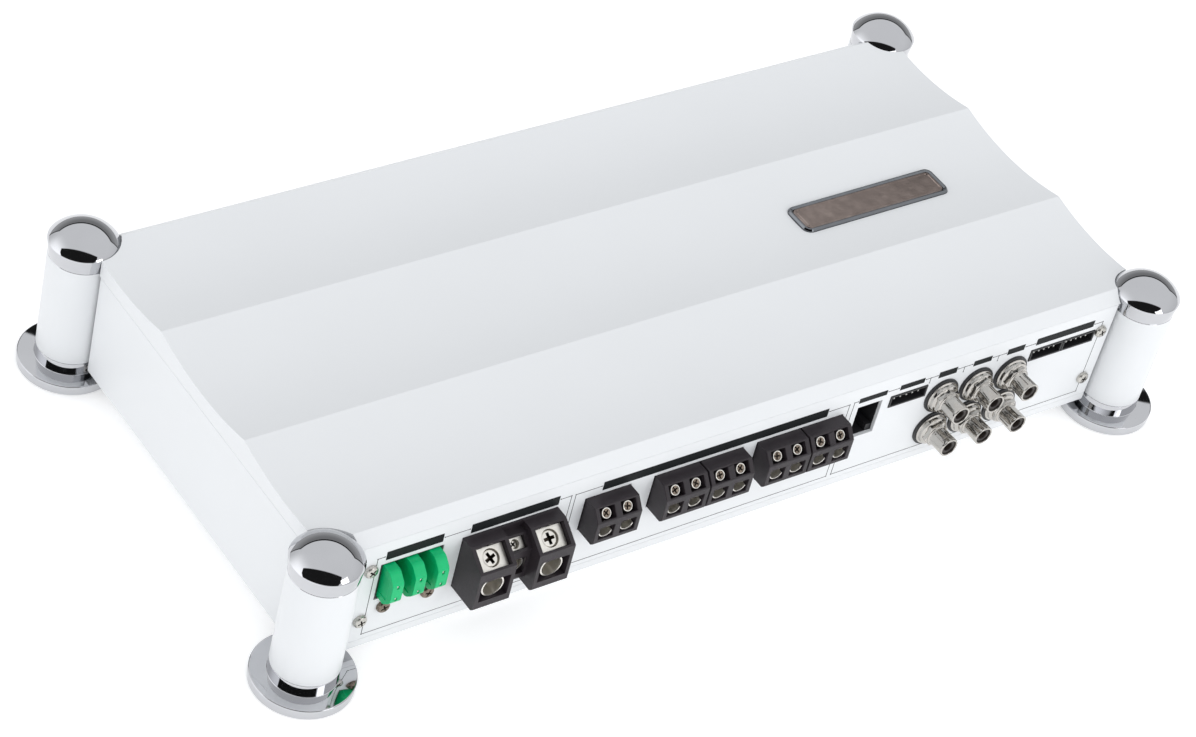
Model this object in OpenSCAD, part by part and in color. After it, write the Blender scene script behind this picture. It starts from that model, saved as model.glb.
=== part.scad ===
/* [Case] */
// Distance between the post centres along the length
post_spacing_x = 382; // [370:1:400]
// Distance between the post centres across the depth
post_spacing_y = 176.2; // [176:0.1:184]
// Height of the case underside above the mounting surface
case_bottom = 7.4; // [7:0.1:8]
// Height of the joint between the end plates and the heatsink
joint_height = 53.9; // [53.5:0.1:54.5]
// Height of the two sharp ridges on the heatsink
ridge_height = 64.2; // [63.5:0.1:65]
// Lowest height of each scoop between the ridges
scoop_height = 60.35; // [60:0.05:61]
// Width of one scoop from ridge to ridge
scoop_pitch = 60.2; // [58:0.1:61]
// Depth of the sloping edge along the front and the back
slope_run = 4.8; // [4:0.1:6]
// Height where the sloping edge meets the panels
slope_foot = 58.8; // [58:0.1:59.2]
// Thickness of the front and rear panels
panel_t = 1.5; // [1.2:0.1:2]
// Thickness of the end plates
end_t = 2.6; // [2:0.1:3]
// Radius of the hollow corner around each post
notch_r = 14.4; // [14.2:0.1:15]

/* [Posts] */
// Radius of the round foot
foot_r = 19.5; // [18:0.1:21]
// Thickness of the round foot
foot_t = 4.25; // [4:0.05:5]
// Radius of the white tube
tube_r = 12.9; // [12.5:0.1:13]
// Height where the tube starts on its plated collar
tube_bottom = 9.8; // [8:0.1:11]
// Height where the tube ends under the cap
tube_top = 54.5; // [54:0.1:55]
// Radius of the cap
cap_r = 13.55; // [13.2:0.05:14]
// Height of the cap rim
cap_rim = 60.9; // [60:0.1:62]
// Height of the cap crown
cap_crown = 67.8; // [66:0.1:69]
// Radius of the screw hole in each foot
foot_hole_r = 2.75; // [2.2:0.05:3.2]

/* [Fuses] */
// Centre of the middle fuse along the length
fuse_x = -153.65; // [-153.8:0.05:-153.5]
// Distance between neighbouring fuses
fuse_pitch = 9.4; // [9:0.1:9.5]
// Height of one fuse body
fuse_h = 15.8; // [14.8:0.1:15.9]
// Thickness of one fuse body
fuse_t = 4.7; // [4.2:0.1:4.8]
// How far the fuses stand out of the panel
fuse_out = 7.3; // [6:0.1:8.5]
// Height of the fuse centres
fuse_z = 38.7; // [38.4:0.1:39]

/* [Sockets] */
// Distance between the two rows of phono jacks
jack_row_pitch = 17; // [16.8:0.1:17.5]
// Distance between the columns of phono jacks
jack_col_pitch = 17.7; // [17:0.1:18]
// Outer radius of a phono jack barrel
jack_r = 4.15; // [4:0.05:4.3]
// How far the phono jacks stand out of the panel
jack_out = 13.1; // [12:0.1:14]
// Place of the first jack column along the length
jack_x = 90.5; // [90:0.1:91]
// Height of the lower jack row
jack_z = 22.3; // [22:0.1:23]

/* [Hidden] */

$fn = 64;
half_x = post_spacing_x / 2;
half_y = post_spacing_y / 2;
front_y = -half_y;
gap = 0.15;
eps = 0.01;

// Circle that cuts one scoop: its chord is one pitch and its sag is the ridge height above the low line
scoop_sag = ridge_height - scoop_height;
scoop_r = (pow(scoop_pitch / 2, 2) + pow(scoop_sag, 2)) / (2 * scoop_sag);
tube_wall = 1.5;
heatsink_depth = half_y - panel_t - gap;
// Height where the outer scoops end at the top of the sloping edges
edge_height = scoop_height + scoop_r
    - sqrt(pow(scoop_r, 2) - pow(half_y - slope_run - scoop_pitch, 2));
lip_foot = slope_foot - 0.3;
rail_y = 66;
rail_t = 5;
rail_h = 26;
rail_len = 250;

// Bottom tray
tray_t = 1.6;
tray_lip = 11;
board_z = 15;
board_t = 1.6;

// Heights of the screws that hold each tube, measured from the foot of its bracket
bracket_screw_z = [12, 32];
bracket_foot = case_bottom + tray_t + gap;

// Badge
badge_x = 114.5;
badge_y = -0.8;
badge_w = 74;
badge_d = 15.6;
badge_corner = 3.4;
badge_floor = 60.1;
badge_rim_t = 1.7;
badge_rim_w = 1.8;
badge_plate_t = 1.2;

// One terminal pole: width, depth out of the panel, depth of its flat top, bottom, edge and top heights
supply_pole = [15.5, 14, 5.4, 23.2, 41.4, 47.6];
remote_pole = [9.8, 8.6, 3.6, 25.4, 40.6, 44.8];
speaker_pole = [10, 9.4, 5.6, 31, 42.2, 46.9];
pole_back = 8;
// How far behind the panel's face the wire sleeves of the power poles end
cable_back = 4.2;
// Power poles: depth of the screw well, depth of the metal top, then the radii and heights of the
// bore, boss and clamp screw, measured down from the middle of the sloping face
supply_well = 5.7;
supply_sunk = 2.5;
supply_bore_r = 4.15;
supply_boss_r = 4.5;
supply_screw_r = 3.1;
supply_screw_top = 2.7;
supply_tip = 9.3;
remote_well = 5.3;
remote_sunk = 2;
remote_bore_r = 3.05;
remote_boss_r = 2.4;
remote_screw_r = 1.5;
remote_screw_top = 3;
remote_tip = 8;
supply_x = -125.05;
remote_x = -112.4;
ground_x = -99.75;
block_x = [-69.5, -38.6, -18, 8.8, 29.4];
speaker_pole_pitch = 9.5;
block_w = 19.9;
speaker_x = [for (b = block_x) for (s = [-1, 1]) b + s * speaker_pole_pitch / 2];

// Sockets
remote_socket_x = 52.75;
remote_socket_w = 12.1;
remote_socket_z = [31.2, 47.6];
header_z = [42.1, 47.8];
headers = [[72.1, 18.4, 3], [142.65, 16.7, 2.6], [159.65, 16.7, 2.6]];
header_pins = 5;
header_depth = 6;
jack_x_list = [for (c = [0 : 2]) jack_x + c * jack_col_pitch];
jack_z_list = [jack_z, jack_z + jack_row_pitch];
washer_r = 8.1;
washer_t = 0.9;

// Fuse holder
holder_w = 25.9;
holder_x = -153.65;
holder_h = 17.3;
holder_floor = 6;
holder_back = 15;
fuse_chamfer = 3.6;
blade_pitch = 10.6;
blade_w = 4.4;
blade_t = 0.8;
blade_len = 7;

// Screws
panel_screws = [for (x = [-171, 171], z = [21.4, 46.4]) [x, z]];
holder_screws = [[-162.2, 25.6], [-143.8, 25.6]];
m3_head_r = 2.7;
m3_head_h = 1.8;
m3_r = 1.45;
m3_hole_r = 1.65;
m3_tap_r = 1.6;

// Rear controls
knob_z = 34;
knob_r = 5.2;
knob_shaft_r = 3;
knobs = [-120, -80, 40, 80];
switch_list = [-20, 120];
switch_travel = 4;

function tilt(p) = atan2(p[5] - p[4], p[1] - p[2]);
function slant(p) = sqrt(pow(p[5] - p[4], 2) + pow(p[1] - p[2], 2));

// ---- helpers ----

// Places a child at each corner, mirrored so that it always faces the middle
module corners() {
    for (sx = [0, 1], sy = [0, 1])
        mirror([sx, 0, 0])
            mirror([0, sy, 0])
                translate([half_x, half_y, 0]) children();
}

// Outline drawn in the Y-Z plane and extruded along X
module along_x(length) {
    rotate([90, 0, 90]) linear_extrude(length, center = true) children();
}

// Stands a child upright on the front panel, with its local Z pointing out of the panel
module on_front(x, z) {
    translate([x, front_y, z]) rotate([90, 0, 0]) children();
}

module on_rear(x, z) {
    translate([x, half_y, z]) rotate([-90, 0, 0]) children();
}

module box(x, y, z) {
    translate([x[0], y[0], z[0]]) cube([x[1] - x[0], y[1] - y[0], z[1] - z[0]]);
}

module rounded(w, d, r) {
    for (sx = [-1, 1], sy = [-1, 1])
        translate([sx * (w / 2 - r), sy * (d / 2 - r)]) circle(r);
    square([w - 2 * r, d], center = true);
    square([w, d - 2 * r], center = true);
}

// Posts' hollow corners, cut from everything in the case outline
module notches(r = notch_r) {
    corners() translate([0, 0, -1]) cylinder(h = 80, r = r);
}

// Places of the standoffs that carry the circuit board
module at_standoffs() {
    for (x = [-160, 0, 160], y = [-70, 64])
        translate([x, y, 0]) children();
}

// Places of the screws that hold the tray to the corner brackets
module at_bottom_screws() {
    for (sx = [-1, 1], sy = [-1, 1])
        translate([sx * (half_x - end_t - gap - 3), sy * (half_y - 21), 0]) children();
}

// Cross-shaped driver recess, pointing down from the local origin
module cross_recess(r, depth) {
    for (a = [0, 90])
        rotate(a) translate([-r, -r / 5, -depth]) cube([2 * r, 2 * r / 5, depth + 1]);
}

module pan_screw(length) {
    difference() {
        union() {
            cylinder(h = m3_head_h, r1 = m3_head_r, r2 = m3_head_r * 0.78);
            translate([0, 0, -length]) cylinder(h = length + eps, r = m3_r);
        }
        translate([0, 0, m3_head_h]) cross_recess(1.5, 1);
    }
}

// ---- case ----

module heatsink_profile() {
    difference() {
        polygon([
            [-heatsink_depth, joint_height], [heatsink_depth, joint_height],
            [heatsink_depth, lip_foot], [half_y, lip_foot], [half_y, slope_foot],
            [half_y - slope_run, edge_height], [half_y - slope_run, ridge_height + 2],
            [slope_run - half_y, ridge_height + 2], [slope_run - half_y, edge_height],
            [-half_y, slope_foot], [-half_y, lip_foot], [-heatsink_depth, lip_foot]
        ]);
        for (i = [-1 : 1])
            translate([i * scoop_pitch, scoop_height + scoop_r]) circle(scoop_r, $fn = 180);
    }
}

module heatsink() color("white") {
    difference() {
        union() {
            along_x(2 * half_x) heatsink_profile();
            for (s = [-1, 1])
                translate([-rail_len / 2, s * rail_y - rail_t / 2, joint_height - rail_h])
                    cube([rail_len, rail_t, rail_h + eps]);
        }
        notches();
        translate([badge_x, badge_y, badge_floor]) linear_extrude(10)
            rounded(badge_w + 0.3, badge_d + 0.3, badge_corner + 0.15);
    }
}

module bottom_cover() color("white") {
    inner_x = half_x - end_t - gap;
    difference() {
        union() {
            box([-inner_x, inner_x], [-half_y, half_y], [case_bottom, case_bottom + tray_t]);
            for (s = [-1, 1])
                translate([-inner_x, s * (half_y - panel_t / 2) - panel_t / 2, case_bottom])
                    cube([2 * inner_x, panel_t, tray_lip - gap - case_bottom]);
            at_standoffs() translate([0, 0, case_bottom + tray_t - eps])
                cylinder(h = board_z - case_bottom - tray_t + eps, r = 3);
        }
        notches();
        at_bottom_screws() cylinder(h = 20, r = m3_hole_r);
        at_standoffs() cylinder(h = 40, r = 1.25);
    }
}

// Plain panel sheet between the hollow corners
module panel_sheet(side) {
    difference() {
        box([-half_x + end_t + gap, half_x - end_t - gap],
            side < 0 ? [-half_y, -half_y + panel_t] : [half_y - panel_t, half_y],
            [tray_lip, lip_foot - gap]);
        notches();
        for (p = panel_screws)
            translate([p[0], side * half_y, p[1]]) rotate([90, 0, 0])
                cylinder(h = 10, r = m3_hole_r, center = true);
    }
}

module front_panel() color("white") {
    cut = [front_y - 1, front_y + panel_t + 1];
    difference() {
        panel_sheet(-1);
        box([holder_x - holder_w / 2 - gap, holder_x + holder_w / 2 + gap], cut,
            [fuse_z - holder_h / 2 - gap, fuse_z + holder_h / 2 + gap]);
        box([supply_x - supply_pole[0] / 2 - gap, ground_x + supply_pole[0] / 2 + gap], cut,
            [supply_pole[3] - gap, supply_pole[5] + gap]);
        for (x = block_x)
            box([x - block_w / 2 - 0.4, x + block_w / 2 + 0.4], cut,
                [speaker_pole[3] - gap, speaker_pole[5] + gap]);
        box([remote_socket_x - remote_socket_w / 2, remote_socket_x + remote_socket_w / 2], cut,
            remote_socket_z);
        for (h = headers)
            box([h[0] - h[1] / 2 - gap, h[0] + h[1] / 2 + gap], cut,
                [header_z[0] - gap, header_z[1] + gap]);
        for (x = jack_x_list, z = jack_z_list)
            on_front(x, z) cylinder(h = 10, r = jack_r + 0.6, center = true);
        for (p = holder_screws)
            on_front(p[0], p[1]) cylinder(h = 10, r = m3_hole_r, center = true);
    }
}

module rear_panel() color("white") {
    cut = [half_y - panel_t - 1, half_y + 1];
    difference() {
        panel_sheet(1);
        for (x = knobs)
            on_rear(x, knob_z) cylinder(h = 10, r = knob_shaft_r + 0.5, center = true);
        for (x = switch_list)
            box([x - 6, x + 6], cut, [knob_z - 2.2, knob_z + 2.2]);
    }
}

module end_plate() {
    difference() {
        box([half_x - end_t, half_x], [-half_y, half_y], [case_bottom, joint_height - gap]);
        notches();
    }
}

module end_plate_left() color("white") mirror([1, 0, 0]) end_plate();
module end_plate_right() color("white") end_plate();

// Quarter-round bracket with two wings, behind the panel and the end plate
module corner_bracket() {
    wall = 3;
    wing = [6, 4];
    reach = 22.7;
    inner = [-end_t - gap, -panel_t - gap];
    difference() {
        union() {
            difference() {
                linear_extrude(joint_height - gap - bracket_foot)
                    intersection() {
                        translate([-reach, -reach]) square([reach + inner[0], reach + inner[1]]);
                        union() {
                            circle(notch_r + wall);
                            translate([-reach, inner[1] - wing[1]]) square([12, wing[1]]);
                            translate([inner[0] - wing[0], -reach]) square([wing[0], 12]);
                        }
                    }
                translate([0, 0, -1]) cylinder(h = 60, r = notch_r);
            }
            for (z = bracket_screw_z)
                translate([0, 0, z]) rotate([0, 0, 225]) rotate([0, 90, 0])
                    translate([0, 0, 8]) cylinder(h = notch_r - 8 + 1, r = 3.5);
        }
        translate([0, 0, -1]) cylinder(h = 60, r = tube_r + 0.05);
        for (z = bracket_screw_z)
            translate([0, 0, z]) rotate([0, 0, 225]) rotate([0, 90, 0])
                cylinder(h = 30, r = m3_tap_r);
    }
}

module corner_brackets() color("silver") {
    difference() {
        corners() translate([0, 0, bracket_foot]) corner_bracket();
        for (p = panel_screws, s = [-1, 1])
            translate([p[0], s * half_y, p[1]]) rotate([90, 0, 0])
                cylinder(h = 30, r = m3_tap_r, center = true);
        at_bottom_screws() cylinder(h = 20, r = m3_tap_r);
    }
}

// ---- posts ----

module post_bases() color("silver") {
    bore = tube_r - tube_wall;
    for (sx = [-1, 1], sy = [-1, 1])
        translate([sx * half_x, sy * half_y, 0])
            rotate_extrude()
                polygon([
                    [foot_hole_r, 0], [foot_r - 0.4, 0], [foot_r, 0.4], [foot_r, foot_t - 0.4],
                    [foot_r - 0.4, foot_t], [tube_r, foot_t], [tube_r, tube_bottom],
                    [bore - gap, tube_bottom], [bore - gap, tube_bottom + 5],
                    [bore - 2, tube_bottom + 5], [bore - 2, foot_t], [foot_hole_r, foot_t]
                ]);
}

module post_tubes() color("white") {
    for (sx = [-1, 1], sy = [-1, 1])
        translate([sx * half_x, sy * half_y, 0])
            difference() {
                translate([0, 0, tube_bottom]) cylinder(h = tube_top - tube_bottom, r = tube_r);
                translate([0, 0, tube_bottom - 1]) cylinder(h = 60, r = tube_r - tube_wall);
                for (z = bracket_screw_z)
                    translate([0, 0, z + bracket_foot])
                        rotate([0, 0, atan2(-sy, -sx)]) rotate([0, 90, 0])
                            cylinder(h = 20, r = m3_tap_r);
            }
}

// Domed cap with a plug that slides into the tube
module post_cap() color("silver") {
    rise = cap_crown - cap_rim;
    dome_r = (cap_r * cap_r + rise * rise) / (2 * rise);
    plug_r = tube_r - tube_wall - 0.06;
    plug_len = 8;
    skirt = tube_top + 0.1;
    translate([0, 0, skirt]) cylinder(h = cap_rim - skirt, r = cap_r);
    translate([0, 0, skirt - plug_len]) cylinder(h = plug_len + eps, r = plug_r);
    intersection() {
        translate([0, 0, cap_crown - dome_r]) sphere(dome_r, $fn = 96);
        translate([0, 0, cap_rim - eps]) cylinder(h = rise + 1, r = cap_r);
    }
}

module cap_front_left() translate([-half_x, -half_y, 0]) post_cap();
module cap_front_right() translate([half_x, -half_y, 0]) post_cap();
module cap_rear_left() translate([-half_x, half_y, 0]) post_cap();
module cap_rear_right() translate([half_x, half_y, 0]) post_cap();

// ---- badge ----

module badge_frame() color("dimgray") {
    translate([badge_x, badge_y, badge_floor])
        difference() {
            linear_extrude(badge_rim_t) rounded(badge_w, badge_d, badge_corner);
            translate([0, 0, 0.4]) linear_extrude(badge_rim_t)
                rounded(badge_w - 2 * badge_rim_w, badge_d - 2 * badge_rim_w,
                    badge_corner - badge_rim_w + 0.6);
        }
}

module badge_plate() color("rosybrown") {
    inset = badge_rim_w + 0.1;
    translate([badge_x, badge_y, badge_floor + 0.4])
        linear_extrude(badge_plate_t - 0.4)
            rounded(badge_w - 2 * inset, badge_d - 2 * inset, badge_corner - badge_rim_w + 0.5);
}

// ---- screws ----

module case_screws() color("silver") {
    for (p = panel_screws) {
        on_front(p[0], p[1]) pan_screw(5);
        on_rear(p[0], p[1]) pan_screw(5);
    }
    for (p = holder_screws)
        on_front(p[0], p[1]) pan_screw(6);
    at_bottom_screws() translate([0, 0, case_bottom]) rotate([180, 0, 0]) pan_screw(6);
    corners()
        for (z = bracket_screw_z)
            translate([0, 0, z + bracket_foot]) rotate([0, 0, 225])
                rotate([0, 90, 0]) translate([0, 0, notch_r + 3.1]) pan_screw(6);
}

// ---- fuses ----

module fuse_holder() color("#1c1c1e") {
    z = [fuse_z - holder_h / 2, fuse_z + holder_h / 2];
    difference() {
        union() {
            box([holder_x - holder_w / 2, holder_x + holder_w / 2],
                [front_y + 0.3, front_y + holder_back], z);
            box([holder_x - holder_w / 2, holder_x + holder_w / 2],
                [front_y + panel_t + gap, front_y + 6], [z[0] - 7.5, z[0] + 1]);
        }
        box([holder_x - holder_w / 2 + 0.8, holder_x + holder_w / 2 - 0.8],
            [front_y - 1, front_y + holder_floor], [z[0] + 0.45, z[1] - 0.45]);
        for (i = [-1 : 1], s = [-1, 1])
            translate([fuse_x + i * fuse_pitch, front_y + holder_floor - 1,
                    fuse_z + s * blade_pitch / 2])
                translate([-1.6, 0, -blade_w / 2 - 0.5]) cube([3.2, 9, blade_w + 1]);
        for (p = holder_screws)
            on_front(p[0], p[1]) cylinder(h = 30, r = m3_tap_r, center = true);
    }
}

// Spring clips that grip the fuse blades, one pair of leaves for each blade
module fuse_clips() color("goldenrod") {
    for (i = [-1 : 1], s = [-1, 1])
        translate([fuse_x + i * fuse_pitch, front_y + holder_floor, fuse_z + s * blade_pitch / 2])
            difference() {
                translate([-1.45, 0.4, -blade_w / 2]) cube([2.9, 7.4, blade_w]);
                translate([-0.75, 0, -blade_w / 2 - 1]) cube([1.5, 7, blade_w + 2]);
            }
}

module fuse(i) {
    body_in = holder_floor - 0.4;
    translate([fuse_x + i * fuse_pitch, front_y, fuse_z]) color("mediumseagreen") {
        along_x(fuse_t)
            polygon([
                [body_in, -fuse_h / 2], [body_in, fuse_h / 2],
                [-fuse_out + fuse_chamfer, fuse_h / 2], [-fuse_out, fuse_h / 2 - fuse_chamfer],
                [-fuse_out, -fuse_h / 2 + fuse_chamfer], [-fuse_out + fuse_chamfer, -fuse_h / 2]
            ]);
        for (s = [-1, 1])
            translate([-blade_t / 2, body_in - eps, s * blade_pitch / 2 - blade_w / 2])
                cube([blade_t, blade_len, blade_w]);
    }
}

module fuse_left() fuse(-1);
module fuse_middle() fuse(0);
module fuse_right() fuse(1);

// ---- screw terminals ----

// Wedge-topped body of one pole, drawn around x = 0
module pole_body(p, w) {
    along_x(w)
        polygon([
            [front_y + pole_back, p[3]], [front_y - p[1] + 1.2, p[3]], [front_y - p[1], p[3] + 1.2],
            [front_y - p[1], p[4]], [front_y - p[2], p[5]], [front_y + pole_back, p[5]]
        ]);
}

// Local frame on the middle of a pole's sloping face: local Z points out of the face
module on_slant(p) {
    translate([0, front_y - (p[1] + p[2]) / 2, (p[4] + p[5]) / 2])
        rotate([tilt(p), 0, 0]) children();
}

// Screw well and wire entry of one pole, with a bar left at each end of the sloping face
module pole_cut(p, w, well, bar, entry_back) {
    on_slant(p)
        translate([-w / 2, bar - slant(p) / 2, -well]) cube([w, slant(p) - 2 * bar, well + 3]);
    box([-w / 2, w / 2], [front_y - p[1] - 1, front_y + entry_back], wire_entry(p));
}

// Round hole for a screw or boss along the screw's axis
module screw_way(p, r) {
    on_slant(p) translate([0, 0, -19]) cylinder(h = 19, r = r);
}

function wire_entry(p) = [p[3] + (p[4] - p[3]) * 0.24, p[3] + (p[4] - p[3]) * 0.77];
function entry_mid(p) = (wire_entry(p)[0] + wire_entry(p)[1]) / 2;

module power_terminal_housing() color("#2b282d") {
    p = supply_pole;
    q = remote_pole;
    difference() {
        union() {
            for (x = [supply_x, ground_x]) translate([x, 0, 0]) pole_body(p, p[0]);
            translate([remote_x, 0, 0]) pole_body(q, q[0] + eps);
            box([supply_x - p[0] / 2, ground_x + p[0] / 2], [front_y - 0.6, front_y + pole_back],
                [p[3], p[5]]);
        }
        for (x = [supply_x, ground_x])
            translate([x, 0, 0]) {
                pole_cut(p, p[0] - 3.2, supply_well, 0.9, cable_back);
                screw_way(p, supply_boss_r + 0.1);
            }
        translate([remote_x, 0, 0]) {
            pole_cut(q, q[0] - 2.6, remote_well, 0.9, cable_back);
            screw_way(q, remote_boss_r + 0.1);
        }
    }
}

// Metal body of one power pole: a rectangular top sunk in the screw well, a round boss below it
// for the screw's thread, and a sleeve that the wire goes into
module power_contact(p, top_size, well, sunk, boss_r, bore_r, wall, hole_r) {
    reach = p[1] - 1.4;
    difference() {
        union() {
            translate([0, front_y - reach, entry_mid(p)]) rotate([-90, 0, 0])
                cylinder(h = reach + cable_back - 0.1, r = bore_r + wall);
            on_slant(p) {
                translate([-top_size[0] / 2, -top_size[1] / 2, 0.1 - well])
                    cube([top_size[0], top_size[1], well - sunk - 0.1]);
                translate([0, 0, -boss_length(p)]) cylinder(h = boss_length(p) - well + 1, r = boss_r);
            }
        }
        translate([0, front_y - reach - 1, entry_mid(p)]) rotate([-90, 0, 0])
            cylinder(h = reach + cable_back - 0.1, r = bore_r);
        on_slant(p) translate([0, 0, -boss_length(p) - 0.5]) cylinder(h = 21, r = hole_r);
    }
}

// Depth at which the axis of the screw meets the middle of the wire sleeve
function boss_length(p) = ((p[4] + p[5]) / 2 - entry_mid(p)) / cos(tilt(p));

module power_terminal_contacts() color("gainsboro") {
    for (x = [supply_x, ground_x])
        translate([x, 0, 0])
            power_contact(supply_pole, [11.8, 8.4], supply_well, supply_sunk, supply_boss_r,
                supply_bore_r, 0.6, supply_screw_r + 0.35);
    translate([remote_x, 0, 0])
        power_contact(remote_pole, [6.9, 4.4], remote_well, remote_sunk, remote_boss_r,
            remote_bore_r, 0.45, remote_screw_r + 0.3);
}

// Headless screw with a cross recess, sunk in the boss
module clamp_screw(p, r, top, tip) {
    on_slant(p) translate([0, 0, -top])
        difference() {
            translate([0, 0, top - tip]) cylinder(h = tip - top, r = r);
            cross_recess(r * 0.72, r * 0.45);
        }
}

// Round pad under the tip of a clamp screw, which presses on the wire
module pressure_pad(p, r, top, t) {
    on_slant(p) translate([0, 0, -top - t]) cylinder(h = t, r = r);
}

module supply_pressure_pad() color("gainsboro") translate([supply_x, 0, 0])
    pressure_pad(supply_pole, supply_screw_r - 0.1, supply_tip + 0.05, 0.8);
module ground_pressure_pad() color("gainsboro") translate([ground_x, 0, 0])
    pressure_pad(supply_pole, supply_screw_r - 0.1, supply_tip + 0.05, 0.8);
module remote_turn_on_pressure_pad() color("gainsboro") translate([remote_x, 0, 0])
    pressure_pad(remote_pole, remote_screw_r - 0.1, remote_tip + 0.05, 0.6);

module supply_screw() color("silver") translate([supply_x, 0, 0])
    clamp_screw(supply_pole, supply_screw_r, supply_screw_top, supply_tip);
module ground_screw() color("silver") translate([ground_x, 0, 0])
    clamp_screw(supply_pole, supply_screw_r, supply_screw_top, supply_tip);
module remote_turn_on_screw() color("silver") translate([remote_x, 0, 0])
    clamp_screw(remote_pole, remote_screw_r, remote_screw_top, remote_tip);

module speaker_terminal_housings() color("#232125") {
    p = speaker_pole;
    difference() {
        for (x = block_x) translate([x, 0, 0]) pole_body(p, block_w);
        for (x = speaker_x) translate([x, 0, 0]) pole_cut(p, 6.6, 8, 0.6, 1);
    }
}

module speaker_terminal_contacts() color("gainsboro") {
    p = speaker_pole;
    w = 6.4;
    t = 0.5;
    z = [wire_entry(p)[0] + 0.1, wire_entry(p)[1] - 0.1];
    difference() {
        for (x = speaker_x)
            translate([x, 0, 0])
                difference() {
                    box([-w / 2, w / 2], [front_y - p[1] + 2.4, front_y + 0.8], z);
                    box([-w / 2 + t, w / 2 - t], [front_y - p[1], front_y + 0.2], [z[0] + t, z[1] - t]);
                }
        for (x = speaker_x)
            translate([x, 0, 0]) on_slant(p) translate([0, 0, -15]) cylinder(h = 16, r = 1.75);
    }
}

module speaker_screw(n) {
    color("silver") translate([speaker_x[n - 1], 0, 0])
        on_slant(speaker_pole) translate([0, 0, -2.6])
            difference() {
                union() {
                    cylinder(h = 1.6, r = 2.1);
                    translate([0, 0, -5]) cylinder(h = 5.1, r = 1.45);
                }
                translate([-3, -0.3, 0.9]) cube([6, 0.6, 2]);
            }
}

module speaker_screw_1() speaker_screw(1);
module speaker_screw_2() speaker_screw(2);
module speaker_screw_3() speaker_screw(3);
module speaker_screw_4() speaker_screw(4);
module speaker_screw_5() speaker_screw(5);
module speaker_screw_6() speaker_screw(6);
module speaker_screw_7() speaker_screw(7);
module speaker_screw_8() speaker_screw(8);
module speaker_screw_9() speaker_screw(9);
module speaker_screw_10() speaker_screw(10);

// ---- signal sockets ----

module remote_socket() color("#161618") {
    x = [remote_socket_x - remote_socket_w / 2, remote_socket_x + remote_socket_w / 2];
    wall = 1.2;
    difference() {
        box([x[0] - wall, x[1] + wall], [front_y + panel_t + gap, front_y + 15],
            [remote_socket_z[0] - wall, remote_socket_z[1] + wall]);
        box(x, [front_y, front_y + 13], [remote_socket_z[0] + 3, remote_socket_z[1]]);
        box([remote_socket_x - 3.2, remote_socket_x + 3.2], [front_y, front_y + 13],
            [remote_socket_z[0], remote_socket_z[0] + 4]);
    }
}

module input_headers() color("#1c1a1d") {
    for (h = headers)
        difference() {
            box([h[0] - h[1] / 2, h[0] + h[1] / 2], [front_y - 0.4, front_y + 10], header_z);
            box([h[0] - h[1] / 2 + 0.8, h[0] + h[1] / 2 - 0.8], [front_y - 2, front_y + header_depth],
                [header_z[0] + 0.8, header_z[1] - 0.7]);
        }
}

// Square pins of the headers and flat springs of the remote socket
module signal_pins() color("goldenrod") {
    pin = 0.64;
    for (h = headers, i = [0 : header_pins - 1])
        translate([h[0] + (i - (header_pins - 1) / 2) * h[2], front_y + header_depth + 0.02,
                (header_z[0] + header_z[1]) / 2])
            rotate([90, 0, 0]) translate([-pin / 2, -pin / 2, 0]) cube([pin, pin, 5]);
    for (i = [0 : 5])
        translate([remote_socket_x + (i - 2.5) * 1.2 - 0.2, front_y + 4, remote_socket_z[1] - 1.6])
            cube([0.4, 8.9, 0.4]);
}

// Frame at each phono jack, with local Z pointing out of the panel
module at_jacks() {
    for (x = jack_x_list, z = jack_z_list) on_front(x, z) children();
}

module jack_washers() color("#1b1b1b") {
    at_jacks()
        difference() {
            cylinder(h = washer_t, r = washer_r);
            translate([0, 0, -1]) cylinder(h = 4, r = jack_r + 0.55);
        }
}

module jack_shells() color("gainsboro") {
    at_jacks()
        rotate_extrude()
            polygon([
                [3.35, -6], [jack_r + 0.4, -6], [jack_r + 0.4, washer_t + 0.05],
                [washer_r - 0.9, washer_t + 0.05],
                [washer_r - 0.9, 1.8], [6.3, 3.1], [6, 5], [jack_r + 0.55, 5.4],
                [jack_r, 6], [jack_r, jack_out - 0.4], [jack_r - 0.3, jack_out], [3.35, jack_out]
            ]);
}

module jack_insulators() color("#2a2627") {
    at_jacks()
        difference() {
            translate([0, 0, -10]) cylinder(h = 9.2 + jack_out, r = 3.3);
            translate([0, 0, -1]) cylinder(h = jack_out + 5, r = 1.9);
        }
}

module jack_contacts() color("goldenrod") {
    at_jacks()
        difference() {
            translate([0, 0, -0.9]) cylinder(h = 11, r = 1.85);
            translate([0, 0, 0.5]) cylinder(h = 13, r = 1.62);
        }
}

// ---- inside ----

module main_board() color("seagreen") {
    difference() {
        translate([-168, -78, board_z]) cube([336, 150, board_t]);
        at_standoffs() cylinder(h = 40, r = m3_hole_r);
    }
}

module power_transformer() color("peru") {
    translate([-110, -20, board_z + board_t])
        difference() {
            cylinder(h = 24, r = 23);
            translate([0, 0, -1]) cylinder(h = 30, r = 8);
        }
}

module output_inductors() color("chocolate") {
    for (i = [0 : 4])
        translate([-40 + i * 26, -30, board_z + board_t])
            difference() {
                cylinder(h = 14, r = 9.5);
                translate([0, 0, -1]) cylinder(h = 20, r = 3.5);
            }
}

module supply_capacitors() color("midnightblue") {
    for (i = [0 : 5])
        translate([-60 + i * 22, 22, board_z + board_t]) cylinder(h = 26, r = 8);
}

module power_transistors() color("#222222") {
    for (i = [0 : 9], s = [-1, 1])
        translate([-112 + i * 22, s * (rail_y - rail_t / 2 - 2.4) - 2.3, 30]) cube([10.2, 4.6, 15.5]);
}

// ---- rear controls ----

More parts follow.
